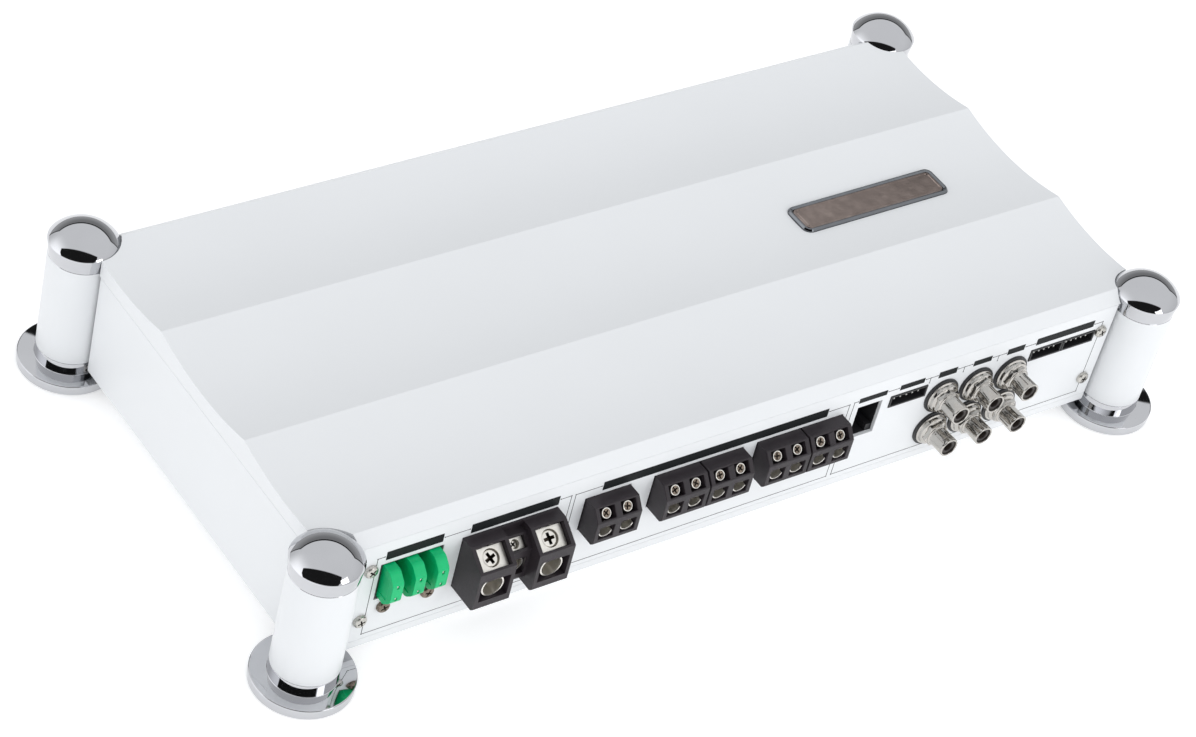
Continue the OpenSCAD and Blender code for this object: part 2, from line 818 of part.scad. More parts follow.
module knob(n) color("#202022") {
    on_rear(knobs[n], knob_z)
        difference() {
            union() {
                translate([0, 0, 0.4]) cylinder(h = 5.6, r1 = knob_r, r2 = knob_r - 0.5);
                translate([0, 0, -12]) cylinder(h = 13, r = knob_shaft_r);
            }
            translate([-0.5, 0, 5.2]) cube([1, knob_r, 2]);
        }
}

module front_level_knob() knob(0);
module rear_level_knob() knob(1);
module sub_level_knob() knob(2);
module sub_crossover_knob() knob(3);

module slide_switch(n) color("#e8e8e8") {
    translate([switch_list[n] - switch_travel / 2, half_y, knob_z]) {
        box([-1.6, 1.6], [-3, 2.4], [-1.7, 1.7]);
        box([-3.4, 3.4], [-4.2, -panel_t - 0.6], [-3, 3]);
    }
}

// Potentiometer and switch bodies behind the rear panel
module control_bodies() color("#33353a") {
    difference() {
        for (x = knobs)
            box([x - 5.5, x + 5.5], [half_y - 13, half_y - 3], [knob_z - 6, knob_z + 6]);
        for (x = knobs)
            on_rear(x, knob_z) translate([0, 0, -20]) cylinder(h = 30, r = knob_shaft_r + 0.05);
    }
    for (x = switch_list)
        box([x - 9, x + 9], [half_y - 11, half_y - 4.5], [knob_z - 4, knob_z + 4]);
}

module filter_switch() slide_switch(0);
module input_mode_switch() slide_switch(1);

heatsink();
bottom_cover();
front_panel();
rear_panel();
end_plate_left();
end_plate_right();
corner_brackets();
post_bases();
post_tubes();
badge_frame();
badge_plate();
case_screws();
fuse_holder();
fuse_clips();
power_terminal_housing();
power_terminal_contacts();
speaker_terminal_housings();
speaker_terminal_contacts();
remote_socket();
input_headers();
signal_pins();
jack_washers();
jack_shells();
jack_insulators();
jack_contacts();
main_board();
control_bodies();
power_transformer();
output_inductors();
supply_capacitors();
power_transistors();
cap_front_left();
cap_front_right();
cap_rear_left();
cap_rear_right();
fuse_left();
fuse_middle();
fuse_right();
supply_pressure_pad();
remote_turn_on_pressure_pad();
ground_pressure_pad();
supply_screw();
remote_turn_on_screw();
ground_screw();
speaker_screw_1();
speaker_screw_2();
speaker_screw_3();
speaker_screw_4();
speaker_screw_5();
speaker_screw_6();
speaker_screw_7();
speaker_screw_8();
speaker_screw_9();
speaker_screw_10();
front_level_knob();
rear_level_knob();
sub_level_knob();
sub_crossover_knob();
filter_switch();
input_mode_switch();
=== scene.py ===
import math

import bmesh
import bpy
from mathutils import Matrix, Vector


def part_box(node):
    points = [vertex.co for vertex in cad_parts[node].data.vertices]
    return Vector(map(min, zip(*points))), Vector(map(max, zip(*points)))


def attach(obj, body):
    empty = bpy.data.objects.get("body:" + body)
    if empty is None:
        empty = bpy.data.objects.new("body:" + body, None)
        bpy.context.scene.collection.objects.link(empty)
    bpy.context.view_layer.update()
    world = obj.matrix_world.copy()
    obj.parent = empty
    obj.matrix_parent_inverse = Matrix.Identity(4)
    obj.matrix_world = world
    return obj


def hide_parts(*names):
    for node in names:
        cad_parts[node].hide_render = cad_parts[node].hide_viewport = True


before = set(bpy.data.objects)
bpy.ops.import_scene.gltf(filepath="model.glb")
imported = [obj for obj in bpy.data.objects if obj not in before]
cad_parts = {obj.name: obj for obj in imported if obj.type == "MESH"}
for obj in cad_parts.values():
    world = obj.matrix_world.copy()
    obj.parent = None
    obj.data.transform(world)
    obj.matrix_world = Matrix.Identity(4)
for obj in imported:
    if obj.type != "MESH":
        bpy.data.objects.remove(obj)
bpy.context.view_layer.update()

# Everything below is drawn in millimetres and scaled to metres when a piece is finished.
MM = 0.001


def node_box(*names):
    """Lowest and highest corner of one or more CAD nodes, in millimetres."""
    boxes = [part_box(name) for name in names]
    low = Vector([min(b[0][axis] for b in boxes) for axis in range(3)])
    high = Vector([max(b[1][axis] for b in boxes) for axis in range(3)])
    return low / MM, high / MM


# ---- driving dimensions, read from the frame ----

SINK_HIGH = node_box("heatsink")[1]
HALF_X, HALF_Y = SINK_HIGH.x, SINK_HIGH.y
RIDGE_Z = SINK_HIGH.z
PANEL_LOW, PANEL_HIGH = node_box("front_panel")
PANEL_T = PANEL_HIGH.y - PANEL_LOW.y
PLATE_TOP = node_box("end_plate_left")[1].z
JOINT_GAP = 0.15
JOINT_Z = PLATE_TOP + JOINT_GAP
BASE_HIGH = node_box("post_bases")[1]
FOOT_R = min(BASE_HIGH.x - HALF_X, BASE_HIGH.y - HALF_Y)
TUBE_LOW, TUBE_HIGH = node_box("post_tubes")
TUBE_R = TUBE_HIGH.x - HALF_X
CAP_LOW, CAP_HIGH = node_box("cap_front_right")
CAP_R = CAP_HIGH.x - HALF_X
CORNERS = {
    "front_left": (-HALF_X, -HALF_Y),
    "front_right": (HALF_X, -HALF_Y),
    "rear_left": (-HALF_X, HALF_Y),
    "rear_right": (HALF_X, HALF_Y),
}


# ---- frames in which the pieces are drawn ----


def columns(x, y, z, origin):
    """Matrix whose local axes are the three given directions."""
    m = Matrix((x, y, z)).transposed().to_4x4()
    m.translation = origin
    return m


# Local X along the length, local Y up, local Z out of the panel
FRONT = columns((1, 0, 0), (0, 0, 1), (0, -1, 0), (0, -HALF_Y, 0))
REAR = columns((-1, 0, 0), (0, 0, 1), (0, 1, 0), (0, HALF_Y, 0))
UNDER = columns((1, 0, 0), (0, -1, 0), (0, 0, -1), (0, 0, 0))
# An outline in Y and Z, extruded along X
ALONG_X = columns((0, 1, 0), (0, 0, 1), (1, 0, 0), (0, 0, 0))


def shift(x, y, z=0.0):
    return Matrix.Translation((x, y, z))


# ---- mesh helpers ----


def arc(centre, radius, start, end, steps):
    """Points on a circle, from one angle to another, in degrees."""
    out = []
    for i in range(steps + 1):
        a = math.radians(start + (end - start) * i / steps)
        out.append((centre[0] + radius * math.cos(a), centre[1] + radius * math.sin(a)))
    return out


def circle(centre, radius, sides):
    """Closed outline of a circle."""
    return arc(centre, radius, 0, 360 * (sides - 1) / sides, sides - 1)


def rounded_path(points, steps=4):
    """Closed path whose corners (x, y, radius) turn into arcs."""
    out = []
    for i, point in enumerate(points):
        here = Vector(point[:2])
        radius = point[2] if len(point) > 2 else 0
        if not radius:
            out.append(tuple(here))
            continue
        a = (Vector(points[i - 1][:2]) - here).normalized()
        b = (Vector(points[(i + 1) % len(points)][:2]) - here).normalized()
        half = a.angle(b) / 2
        centre = here + (a + b).normalized() * radius / math.sin(half)
        first = here + a * radius / math.tan(half) - centre
        last = here + b * radius / math.tan(half) - centre
        turn = first.angle_signed(last)
        for k in range(steps + 1):
            spoke = first.copy()
            spoke.rotate(Matrix.Rotation(-turn * k / steps, 2))
            out.append(tuple(centre + spoke))
    return out


def rounded_rectangle(width, height, radius, steps=6):
    """Closed outline of a rectangle with round corners, drawn about the origin."""
    out = []
    for sx, sy, start in ((1, 1, 0), (-1, 1, 90), (-1, -1, 180), (1, -1, 270)):
        centre = (sx * (width / 2 - radius), sy * (height / 2 - radius))
        out += arc(centre, radius, start, start + 90, steps)
    return out


def bridge(bm, loops, close_ends=True, ring=False):
    """Skin through loops of vertices that have the same length, with both ends closed."""
    count = len(loops[0])
    pairs = list(zip(loops, loops[1:]))
    if ring:
        pairs.append((loops[-1], loops[0]))
    for a, b in pairs:
        for i in range(count):
            j = (i + 1) % count
            bm.faces.new((a[i], a[j], b[j], b[i]))
    if close_ends and not ring:
        bm.faces.new(list(reversed(loops[0])))
        bm.faces.new(loops[-1])


def loft(bm, sections, matrix=Matrix()):
    """Solid through outlines at several heights: sections are (height, outline)."""
    loops = [
        [bm.verts.new(matrix @ Vector((x, y, height))) for x, y in outline]
        for height, outline in sections
    ]
    bridge(bm, loops)


def prism(bm, outline, low, high, matrix=Matrix()):
    loft(bm, [(low, outline), (high, outline)], matrix)


def block(bm, x, y, z, matrix=Matrix()):
    """Box between pairs of limits."""
    outline = [(x[0], y[0]), (x[1], y[0]), (x[1], y[1]), (x[0], y[1])]
    prism(bm, outline, z[0], z[1], matrix)


def lathe(bm, profile, matrix=Matrix(), steps=96):
    """Solid of revolution about local Z of a closed profile of (radius, height) points."""
    rings = []
    for radius, height in profile:
        if radius < 1e-6:
            rings.append([bm.verts.new(matrix @ Vector((0, 0, height)))])
            continue
        ring = []
        for i in range(steps):
            a = 2 * math.pi * i / steps
            ring.append(
                bm.verts.new(
                    matrix @ Vector((radius * math.cos(a), radius * math.sin(a), height))
                )
            )
        rings.append(ring)
    for a, b in zip(rings, rings[1:] + rings[:1]):
        if len(a) == 1 and len(b) == 1:
            continue
        for i in range(steps):
            j = (i + 1) % steps
            if len(a) == 1:
                bm.faces.new((a[0], b[j], b[i]))
            elif len(b) == 1:
                bm.faces.new((a[i], a[j], b[0]))
            else:
                bm.faces.new((a[i], a[j], b[j], b[i]))


def make(name, bm, material=None, sharp=28):
    """Object in metres from a mesh in millimetres, smooth except across sharp edges."""
    bmesh.ops.recalc_face_normals(bm, faces=bm.faces)
    bmesh.ops.scale(bm, vec=(MM, MM, MM), verts=bm.verts)
    mesh = bpy.data.meshes.new(name)
    bm.to_mesh(mesh)
    bm.free()
    obj = bpy.data.objects.new(name, mesh)
    bpy.context.scene.collection.objects.link(obj)
    if material:
        mesh.materials.append(material)
    shade(mesh, sharp)
    return obj


def shade(mesh, sharp):
    """Smooth shading, broken at edges that turn by more than an angle in degrees."""
    mesh.shade_smooth()
    mesh.set_sharp_from_angle(angle=math.radians(sharp))


def settle(obj):
    """Applies an object's modifiers to its mesh."""
    graph = bpy.context.evaluated_depsgraph_get()
    mesh = bpy.data.meshes.new_from_object(obj.evaluated_get(graph))
    obj.modifiers.clear()
    old, obj.data = obj.data, mesh
    mesh.name = obj.name
    bpy.data.meshes.remove(old)


def bevel(obj, width, segments=2, angle=30):
    """Rounds an object's sharp edges, width in millimetres."""
    soft = obj.modifiers.new("bevel", "BEVEL")
    soft.width = width * MM
    soft.segments = segments
    soft.limit_method = "ANGLE"
    soft.angle_limit = math.radians(angle)
    soft.miter_outer = "MITER_ARC"
    level = obj.modifiers.new("normals", "WEIGHTED_NORMAL")
    level.keep_sharp = True


def carve(obj, cutter):
    """Cuts one object out of another and deletes the cutter. The cut faces take the
    cutter's material if it has one."""
    cut = obj.modifiers.new("cut", "BOOLEAN")
    if cutter.data.materials:
        cut.material_mode = "TRANSFER"
    cut.operation = "DIFFERENCE"
    cut.solver = "EXACT"
    cut.object = cutter
    settle(obj)
    bpy.data.objects.remove(cutter)


def finish_edges(obj, width, segments=2, angle=30, sharp=28):
    """Shades, bevels and applies, for a piece whose edges aren't already round."""
    shade(obj.data, sharp)
    bevel(obj, width, segments, angle)
    settle(obj)


def stamps(name, source, matrices, material=None):
    """One object made of copies of a finished object, which is deleted."""
    bm = bmesh.new()
    for matrix in matrices:
        start = len(bm.verts)
        bm.from_mesh(source.data)
        bm.verts.ensure_lookup_table()
        scaled = matrix.copy()
        scaled.translation *= MM
        bmesh.ops.transform(bm, matrix=scaled, verts=bm.verts[start:])
    mesh = bpy.data.meshes.new(name)
    bm.to_mesh(mesh)
    bm.free()
    obj = bpy.data.objects.new(name, mesh)
    bpy.context.scene.collection.objects.link(obj)
    for mat in [material] if material else source.data.materials:
        mesh.materials.append(mat)
    return obj


def discard(obj):
    bpy.data.objects.remove(obj)


def fit(obj, body, slot, *nodes):
    """Puts a piece on its body and hides the CAD nodes that it stands for; slot, the name of its
    finish, is not used.
    """
    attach(obj, body)
    if nodes:
        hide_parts(*nodes)
    return obj


# ---- materials ----


def surface(name, colour, rough, metal=0.0, grain=0.5, relief=0.0, cloud=25.0,
            tint=0.03, polish=0.04, stretch=(1, 1, 1), **sockets):
    """Procedural finish. grain and cloud are the sizes in mm of the fine and broad variation,
    relief is the depth of the grain in mm, tint and polish are how far colour and roughness
    drift, and sockets are constants set on the shader itself."""
    mat = bpy.data.materials.new(name)
    mat.use_nodes = True
    nodes, links = mat.node_tree.nodes, mat.node_tree.links
    shader = nodes["Principled BSDF"]
    where = nodes.new("ShaderNodeTexCoord")
    mapping = nodes.new("ShaderNodeMapping")
    mapping.inputs["Scale"].default_value = stretch
    links.new(where.outputs["Object"], mapping.inputs["Vector"])

    def noise(size, detail):
        tex = nodes.new("ShaderNodeTexNoise")
        tex.inputs["Scale"].default_value = 1 / (size * MM)
        tex.inputs["Detail"].default_value = detail
        links.new(mapping.outputs["Vector"], tex.inputs["Vector"])
        return tex.outputs["Fac"]

    fine, broad = noise(grain, 3), noise(cloud, 4)
    ramp = nodes.new("ShaderNodeValToRGB")
    for stop, sign, place in ((0, -1, 0.3), (1, 1, 0.7)):
        ramp.color_ramp.elements[stop].position = place
        shown = [min(1, c * (1 + sign * tint)) for c in colour]
        ramp.color_ramp.elements[stop].color = (*shown, 1)
    links.new(broad, ramp.inputs["Fac"])
    links.new(ramp.outputs["Color"], shader.inputs["Base Color"])
    gloss = nodes.new("ShaderNodeMapRange")
    gloss.inputs["From Min"].default_value = 0.3
    gloss.inputs["From Max"].default_value = 0.7
    gloss.inputs["To Min"].default_value = max(0.01, rough - polish)
    gloss.inputs["To Max"].default_value = rough + polish
    links.new(fine, gloss.inputs["Value"])
    links.new(gloss.outputs["Result"], shader.inputs["Roughness"])
    if relief:
        bump = nodes.new("ShaderNodeBump")
        bump.inputs["Strength"].default_value = 1.0
        bump.inputs["Distance"].default_value = relief * MM
        links.new(fine, bump.inputs["Height"])
        links.new(bump.outputs["Normal"], shader.inputs["Normal"])
    shader.inputs["Metallic"].default_value = metal
    for socket, value in sockets.items():
        shader.inputs[socket.replace("_", " ")].default_value = value
    return mat


WHITE_COAT = surface("white_coat", (0.76, 0.775, 0.79), 0.42, grain=0.7, relief=0.006,
                     cloud=60, tint=0.008, polish=0.06)
WHITE_TUBE = surface("white_tube", (0.75, 0.765, 0.78), 0.36, grain=0.8, relief=0.0012,
                     cloud=30, tint=0.006, polish=0.04)
CHROME = surface("mirror_chrome", (0.56, 0.565, 0.585), 0.035, 1.0, grain=2.5, relief=0.0008,
                 cloud=12, tint=0.02, polish=0.02)
DARK_CHROME = surface("dark_chrome", (0.2, 0.21, 0.225), 0.08, 1.0, grain=1.5, relief=0.001,
                      cloud=6, tint=0.08, polish=0.03)
BRONZE = surface("bronze_mirror", (0.33, 0.27, 0.245), 0.14, 1.0, grain=5.0, relief=0.012,
                 cloud=4, tint=0.12, polish=0.06)
NICKEL = surface("nickel", (0.52, 0.50, 0.47), 0.13, 1.0, grain=0.8, relief=0.003,
                 cloud=5, tint=0.06, polish=0.07)
SCREW_STEEL = surface("screw_steel", (0.55, 0.535, 0.50), 0.28, 1.0, grain=0.35, relief=0.004,
                      cloud=2, tint=0.1, polish=0.1)
CLAMP_NICKEL = surface("clamp_nickel", (0.9, 0.875, 0.82), 0.36, 1.0, grain=0.8, relief=0.003,
                       cloud=5, tint=0.05, polish=0.08)
BRONZE_SCREW = surface("bronze_screw", (0.22, 0.18, 0.145), 0.3, 1.0, grain=0.35, relief=0.004,
                       cloud=2, tint=0.12, polish=0.1)
# Painted shade: a near-black finish for the cut faces of the cross recesses, much darker than
# the head's own metal, standing for the shade inside the recess
CROSS_RECESS_SHADE = surface("recess_painted_shade", (0.075, 0.06, 0.048), 0.4, 1.0, grain=0.35, relief=0.003,
                 cloud=2, tint=0.15, polish=0.1)
ALUMINIUM = surface("aluminium", (0.6, 0.61, 0.62), 0.35, 1.0, grain=0.4, relief=0.003,
                    cloud=15, tint=0.05, polish=0.1, stretch=(0.1, 1, 1))
BLACK_PLASTIC = surface("black_plastic", (0.016, 0.016, 0.018), 0.42, grain=0.3, relief=0.01,
                        cloud=8, tint=0.15, polish=0.1)
TERMINAL_PLASTIC = surface("terminal_plastic", (0.023, 0.018, 0.022), 0.42, grain=0.35,
                           relief=0.012, cloud=6, tint=0.15, polish=0.1, Specular_IOR_Level=0.35)
GREEN_PLASTIC = surface("green_plastic", (0.0, 0.47, 0.165), 0.4, grain=0.9, relief=0.003,
                        cloud=4, tint=0.06, polish=0.05, Subsurface_Weight=0.2,
                        Subsurface_Scale=0.002, Specular_IOR_Level=0.3)
TIN = surface("tin_plate", (0.66, 0.66, 0.64), 0.28, 1.0, grain=0.6, relief=0.002,
              cloud=3, tint=0.05, polish=0.08)
GOLD = surface("gold_plate", (0.75, 0.53, 0.2), 0.2, 1.0, grain=0.4, relief=0.002,
               cloud=2, tint=0.06, polish=0.06)
BOARD = surface("board_green", (0.01, 0.12, 0.05), 0.35, grain=0.5, relief=0.01,
                cloud=9, tint=0.2, polish=0.08)
COPPER = surface("copper_winding", (0.5, 0.18, 0.06), 0.3, 0.6, grain=0.9, relief=0.15,
                 cloud=6, tint=0.2, polish=0.1, stretch=(1, 1, 0.15))
SLEEVE = surface("capacitor_sleeve", (0.02, 0.03, 0.08), 0.25, grain=0.8, relief=0.005,
                 cloud=5, tint=0.1, polish=0.05)
EPOXY = surface("epoxy", (0.025, 0.025, 0.026), 0.55, grain=0.3, relief=0.01,
                cloud=4, tint=0.15, polish=0.1)
INSULATOR = surface("dark_insulator", (0.03, 0.024, 0.022), 0.35, grain=0.4, relief=0.005,
                    cloud=3, tint=0.15, polish=0.08)
KNOB_PLASTIC = surface("knob_plastic", (0.022, 0.022, 0.024), 0.45, grain=0.25, relief=0.01,
                       cloud=4, tint=0.15, polish=0.1)
SWITCH_PLASTIC = surface("switch_plastic", (0.72, 0.72, 0.71), 0.35, grain=0.5, relief=0.003,
                         cloud=4, tint=0.02, polish=0.06)
INK = surface("ink", (0.010, 0.012, 0.013), 0.5, grain=0.25, relief=0.004, cloud=10,
              tint=0.1, polish=0.1, Specular_IOR_Level=0.15)
WHITE_INK = surface("white_ink", (0.8, 0.8, 0.8), 0.5, grain=0.25, relief=0.003, cloud=5,
                    tint=0.02, polish=0.08)
FLOOR = surface("pale_floor", (0.93, 0.93, 0.93), 0.6, grain=3, cloud=400, tint=0.004,
                polish=0.03, Emission_Color=(1, 1, 1, 1), Emission_Strength=0.3)


# ---- CAD nodes that keep their own shape ----


def dress(name, material, width=0.0, segments=2, flatten=True):
    """Gives a CAD node its finish and rounds its edges with modifiers."""
    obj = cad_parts[name]
    obj.data.materials.clear()
    obj.data.materials.append(material)
    if not width:
        return
    weld = obj.modifiers.new("weld", "WELD")
    weld.merge_threshold = 0.002 * MM
    if flatten:
        flat = obj.modifiers.new("flat", "DECIMATE")
        flat.decimate_type = "DISSOLVE"
        flat.angle_limit = math.radians(0.3)
    bevel(obj, width, segments)
    if not flatten:
        obj.modifiers["bevel"].use_clamp_overlap = False


def dress_cad_nodes():
    for name in ("bottom_cover", "front_panel", "rear_panel"):
        dress(name, WHITE_COAT, 0.2)
    for name in ("end_plate_left", "end_plate_right"):
        dress(name, WHITE_COAT, 0.25)
    dress("fuse_holder", BLACK_PLASTIC, 0.15)
    dress("power_terminal_housing", TERMINAL_PLASTIC, 0.3)
    dress("speaker_terminal_housings", TERMINAL_PLASTIC, 0.22, flatten=False)
    dress("power_terminal_contacts", CLAMP_NICKEL, 0.15)
    dress("speaker_terminal_contacts", CLAMP_NICKEL, 0.1)
    dress("remote_socket", BLACK_PLASTIC, 0.15)
    dress("input_headers", BLACK_PLASTIC, 0.12)
    dress("signal_pins", TIN)
    dress("fuse_clips", TIN)
    dress("corner_brackets", ALUMINIUM)
    dress("main_board", BOARD)
    dress("control_bodies", EPOXY)
    dress("power_transformer", COPPER)
    dress("output_inductors", COPPER)
    dress("supply_capacitors", SLEEVE)
    dress("power_transistors", EPOXY)
    for name in ("supply", "remote_turn_on", "ground"):
        dress(name + "_pressure_pad", BRONZE_SCREW)


# ---- case ----

SCOOP_PITCH = 60.2
SCOOP_LOW = 60.35
SLOPE_RUN = 4.8
SLOPE_FOOT = 58.8
# Hollow round each post: of the case, and of the heatsink beyond the cap
NOTCH_R = 14.4
CAP_GAP = 0.12
CUT_OVER = 5
SCOOP_SAG = RIDGE_Z - SCOOP_LOW
SCOOP_R = ((SCOOP_PITCH / 2) ** 2 + SCOOP_SAG ** 2) / (2 * SCOOP_SAG)
BADGE_LOW, BADGE_HIGH = node_box("badge_frame")
BADGE = (BADGE_LOW + BADGE_HIGH) / 2
BADGE_W = BADGE_HIGH.x - BADGE_LOW.x
BADGE_D = BADGE_HIGH.y - BADGE_LOW.y
BADGE_CORNER = 3.4
BADGE_FLOOR = BADGE_LOW.z


def scoop_height(y):
    """Height of the scooped top at a distance from the middle line."""
    off = y - SCOOP_PITCH * round(y / SCOOP_PITCH)
    return SCOOP_LOW + SCOOP_R - math.sqrt(SCOOP_R ** 2 - off ** 2)


def heatsink_outline():
    """Section of the heatsink in Y and Z: two sharp ridges between three scoops."""
    edge = HALF_Y - SLOPE_RUN
    ridge = SCOOP_PITCH / 2
    per_scoop = 36
    stops = [edge, ridge, -ridge, -edge]
    top = []
    for a, b in zip(stops, stops[1:]):
        count = round(per_scoop * (a - b) / SCOOP_PITCH)
        top += [a + (b - a) * i / count for i in range(count)]
    top.append(-edge)
    inner = HALF_Y - PANEL_T - JOINT_GAP
    lip = SLOPE_FOOT - 0.3
    right = [(inner, JOINT_Z), (inner, lip), (HALF_Y, lip), (HALF_Y, SLOPE_FOOT)]
    left = [(-y, z) for y, z in reversed(right)]
    return right + [(y, scoop_height(y)) for y in top] + left


def heatsink():
    bm = bmesh.new()
    prism(bm, heatsink_outline(), -HALF_X, HALF_X, ALONG_X)
    obj = make("heatsink_shell", bm, WHITE_COAT)
    bm = bmesh.new()
    for at in CORNERS.values():
        prism(bm, circle(at, CAP_R + CAP_GAP, 128), JOINT_Z - CUT_OVER, RIDGE_Z + CUT_OVER)
    play = 0.15
    pocket = rounded_rectangle(BADGE_W + 2 * play, BADGE_D + 2 * play, BADGE_CORNER + play)
    prism(bm, pocket, BADGE_FLOOR, RIDGE_Z + CUT_OVER, shift(BADGE.x, BADGE.y))
    carve(obj, make("cutter", bm))
    finish_edges(obj, 0.3, 3, 20, 18)
    fit(obj, "case", "white_coat", "heatsink")


def ring_of(bm, steps, matrix, width, depth, corner):
    """Frame swept round a rounded rectangle: steps are (inset, height) of its section."""
    loops = []
    for inset, height in steps:
        outline = rounded_rectangle(
            width - 2 * inset, depth - 2 * inset, max(corner - inset, 0.4), 8
        )
        loops.append([bm.verts.new(matrix @ Vector((x, y, height))) for x, y in outline])
    bridge(bm, loops, ring=True)


def badge():
    place = shift(BADGE.x, BADGE.y, BADGE_FLOOR)
    rim_top = BADGE_HIGH.z - BADGE_LOW.z
    plate_low, plate_high = node_box("badge_plate")
    face = plate_high.z - BADGE_FLOOR
    rim_w = plate_low.x - BADGE_LOW.x
    bm = bmesh.new()
    section = [
        (0, 0), (0, rim_top - 0.75), (0.12, rim_top - 0.6), (0.55, rim_top - 0.08),
        (0.75, rim_top), (1.05, rim_top), (1.2, rim_top - 0.07), (1.7, face + 0.06),
        (rim_w - 0.06, face), (rim_w - 0.06, 0.02), (rim_w - 0.2, 0),
    ]
    ring_of(bm, section, place, BADGE_W, BADGE_D, BADGE_CORNER)
    rim = make("badge_rim", bm, DARK_CHROME, 20)
    fit(rim, "case", "dark_chrome", "badge_frame")
    width, depth = plate_high.x - plate_low.x, plate_high.y - plate_low.y
    corner = BADGE_CORNER - rim_w + 0.6
    groove = 0.16
    sections = []
    for inset, height in (
        (0, 0.4), (0, face - 0.1), (0.1, face), (0.95, face), (1.05, face - groove),
        (1.3, face - groove), (1.4, face),
    ):
        outline = rounded_rectangle(
            width - 2 * inset, depth - 2 * inset, max(corner - inset, 0.5), 6
        )
        sections.append((height, outline))
    bm = bmesh.new()
    loft(bm, sections, place)
    plate = make("badge_mirror", bm, BRONZE, 20)
    fit(plate, "case", "bronze_mirror", "badge_plate")


# ---- posts ----


def posts():
    foot_t = 4.25
    hole_r = 2.75
    bore = TUBE_R - 1.5
    base = rounded_path([
        (hole_r, 0, 0.3), (FOOT_R - 0.35, 0, 0.3), (FOOT_R, 0.35, 0.3),
        (FOOT_R, foot_t, 0.55), (TUBE_R, foot_t, 0.25), (TUBE_R, TUBE_LOW.z, 0.12),
        (bore - 0.15, TUBE_LOW.z), (bore - 0.15, TUBE_LOW.z + 5, 0.3),
        (bore - 2, TUBE_LOW.z + 5, 0.3), (bore - 2, foot_t, 0.3), (hole_r, foot_t, 0.3),
    ])
    bm = bmesh.new()
    for x, y in CORNERS.values():
        lathe(bm, base, shift(x, y), 128)
    fit(make("post_feet_plated", bm, CHROME, 35), "case", "mirror_chrome", "post_bases")
    tube = rounded_path([
        (bore, TUBE_LOW.z), (TUBE_R, TUBE_LOW.z + 0.02, 0.25), (TUBE_R, TUBE_HIGH.z, 0.3),
        (bore, TUBE_HIGH.z, 0.3),
    ])
    bm = bmesh.new()
    for x, y in CORNERS.values():
        lathe(bm, tube, shift(x, y), 128)
    fit(make("post_tubes_coated", bm, WHITE_TUBE, 35), "case", "white_tube", "post_tubes")


def caps():
    """Domed caps with a soft corner between the rim and the dome, and a plug below."""
    rim_z = 60.9
    skirt = TUBE_HIGH.z + 0.1
    rise = CAP_HIGH.z - rim_z
    dome_r = (CAP_R ** 2 + rise ** 2) / (2 * rise)
    half = math.degrees(math.asin(CAP_R / dome_r))
    edge = 0.35
    plug_r = TUBE_R - 1.56
    dome = arc((0, CAP_HIGH.z - dome_r), dome_r, 90, 90 - half + 1.6, 30)
    profile = [(max(r, 0), z) for r, z in dome]
    profile += arc((CAP_R - edge, rim_z - 0.2), edge, 90 - half, 0, 5)
    profile += rounded_path([
        (CAP_R, skirt, 0.25), (plug_r, skirt), (plug_r, CAP_LOW.z, 0.8), (0, CAP_LOW.z),
    ])
    for name, (x, y) in CORNERS.items():
        bm = bmesh.new()
        lathe(bm, profile, shift(x, y), 128)
        obj = make("cap_%s_plated" % name, bm, CHROME, 35)
        fit(obj, "cap_" + name, "mirror_chrome", "cap_" + name)


# ---- screws ----


def cross(arm, width, root=0.25):
    """Outline of a cross recess with rounded inner corners."""
    w = width / 2
    return rounded_path([
        (arm, -w), (arm, w), (w, w, root), (w, arm), (-w, arm), (-w, w, root),
        (-arm, w), (-arm, -w), (-w, -w, root), (-w, -arm), (w, -arm), (w, -w, root),
    ], 2)


def cross_cut(bm, arm, width, top, depth):
    """Tapered cross recess, down from a height."""
    loft(bm, [
        (top - depth, cross(arm * 0.45, width * 0.62, 0.05)),
        (top - depth * 0.45, cross(arm * 0.8, width * 0.8, 0.08)),
        (top + 0.02, cross(arm, width, 0.12)),
        (top + 1, cross(arm, width, 0.12)),
    ])


def threaded(radius, low, high, pitch, depth):
    """Profile points down a threaded shank: a zigzag of ridges."""
    out = []
    turns = int((high - low) / pitch)
    for i in range(turns):
        z = high - i * pitch
        out += [(radius - depth, z), (radius, z - pitch * 0.35), (radius, z - pitch * 0.5)]
    return out + [(radius - depth, low)]


def pan_screw():
    """M3 pan-head screw with a cross recess, head up, seated at height 0."""
    head_r, head_h, shank_r, length = 2.7, 1.8, 1.4, 5
    bm = bmesh.new()
    profile = [(0, head_h)]
    profile += rounded_path([
        (0.6, head_h), (head_r, head_h, 1.15), (head_r, 0, 0.15), (shank_r, 0),
    ], 6)
    profile += threaded(shank_r, 0.2 - length, -0.4, 0.5, 0.22) + [(0, -length)]
    lathe(bm, profile, steps=48)
    screw = make("pan_screw", bm, SCREW_STEEL)
    bm = bmesh.new()
    cross_cut(bm, 1.55, 0.62, head_h, 1.15)
    # The cut faces of the recess take the painted shade finish
    carve(screw, make("cutter", bm, CROSS_RECESS_SHADE))
    finish_edges(screw, 0.05, 2)
    return screw


PANEL_SCREWS = [(x, z) for x in (-171, 171) for z in (21.4, 46.4)]
HOLDER_SCREWS = [(-162.2, 25.6), (-143.8, 25.6)]
BRACKET_SCREW_Z = (21.15, 41.15)
BRACKET_SCREW_R = NOTCH_R + 3.1
BOTTOM_SCREW = (185.25, 67.1)
CASE_BOTTOM = node_box("bottom_cover")[0].z


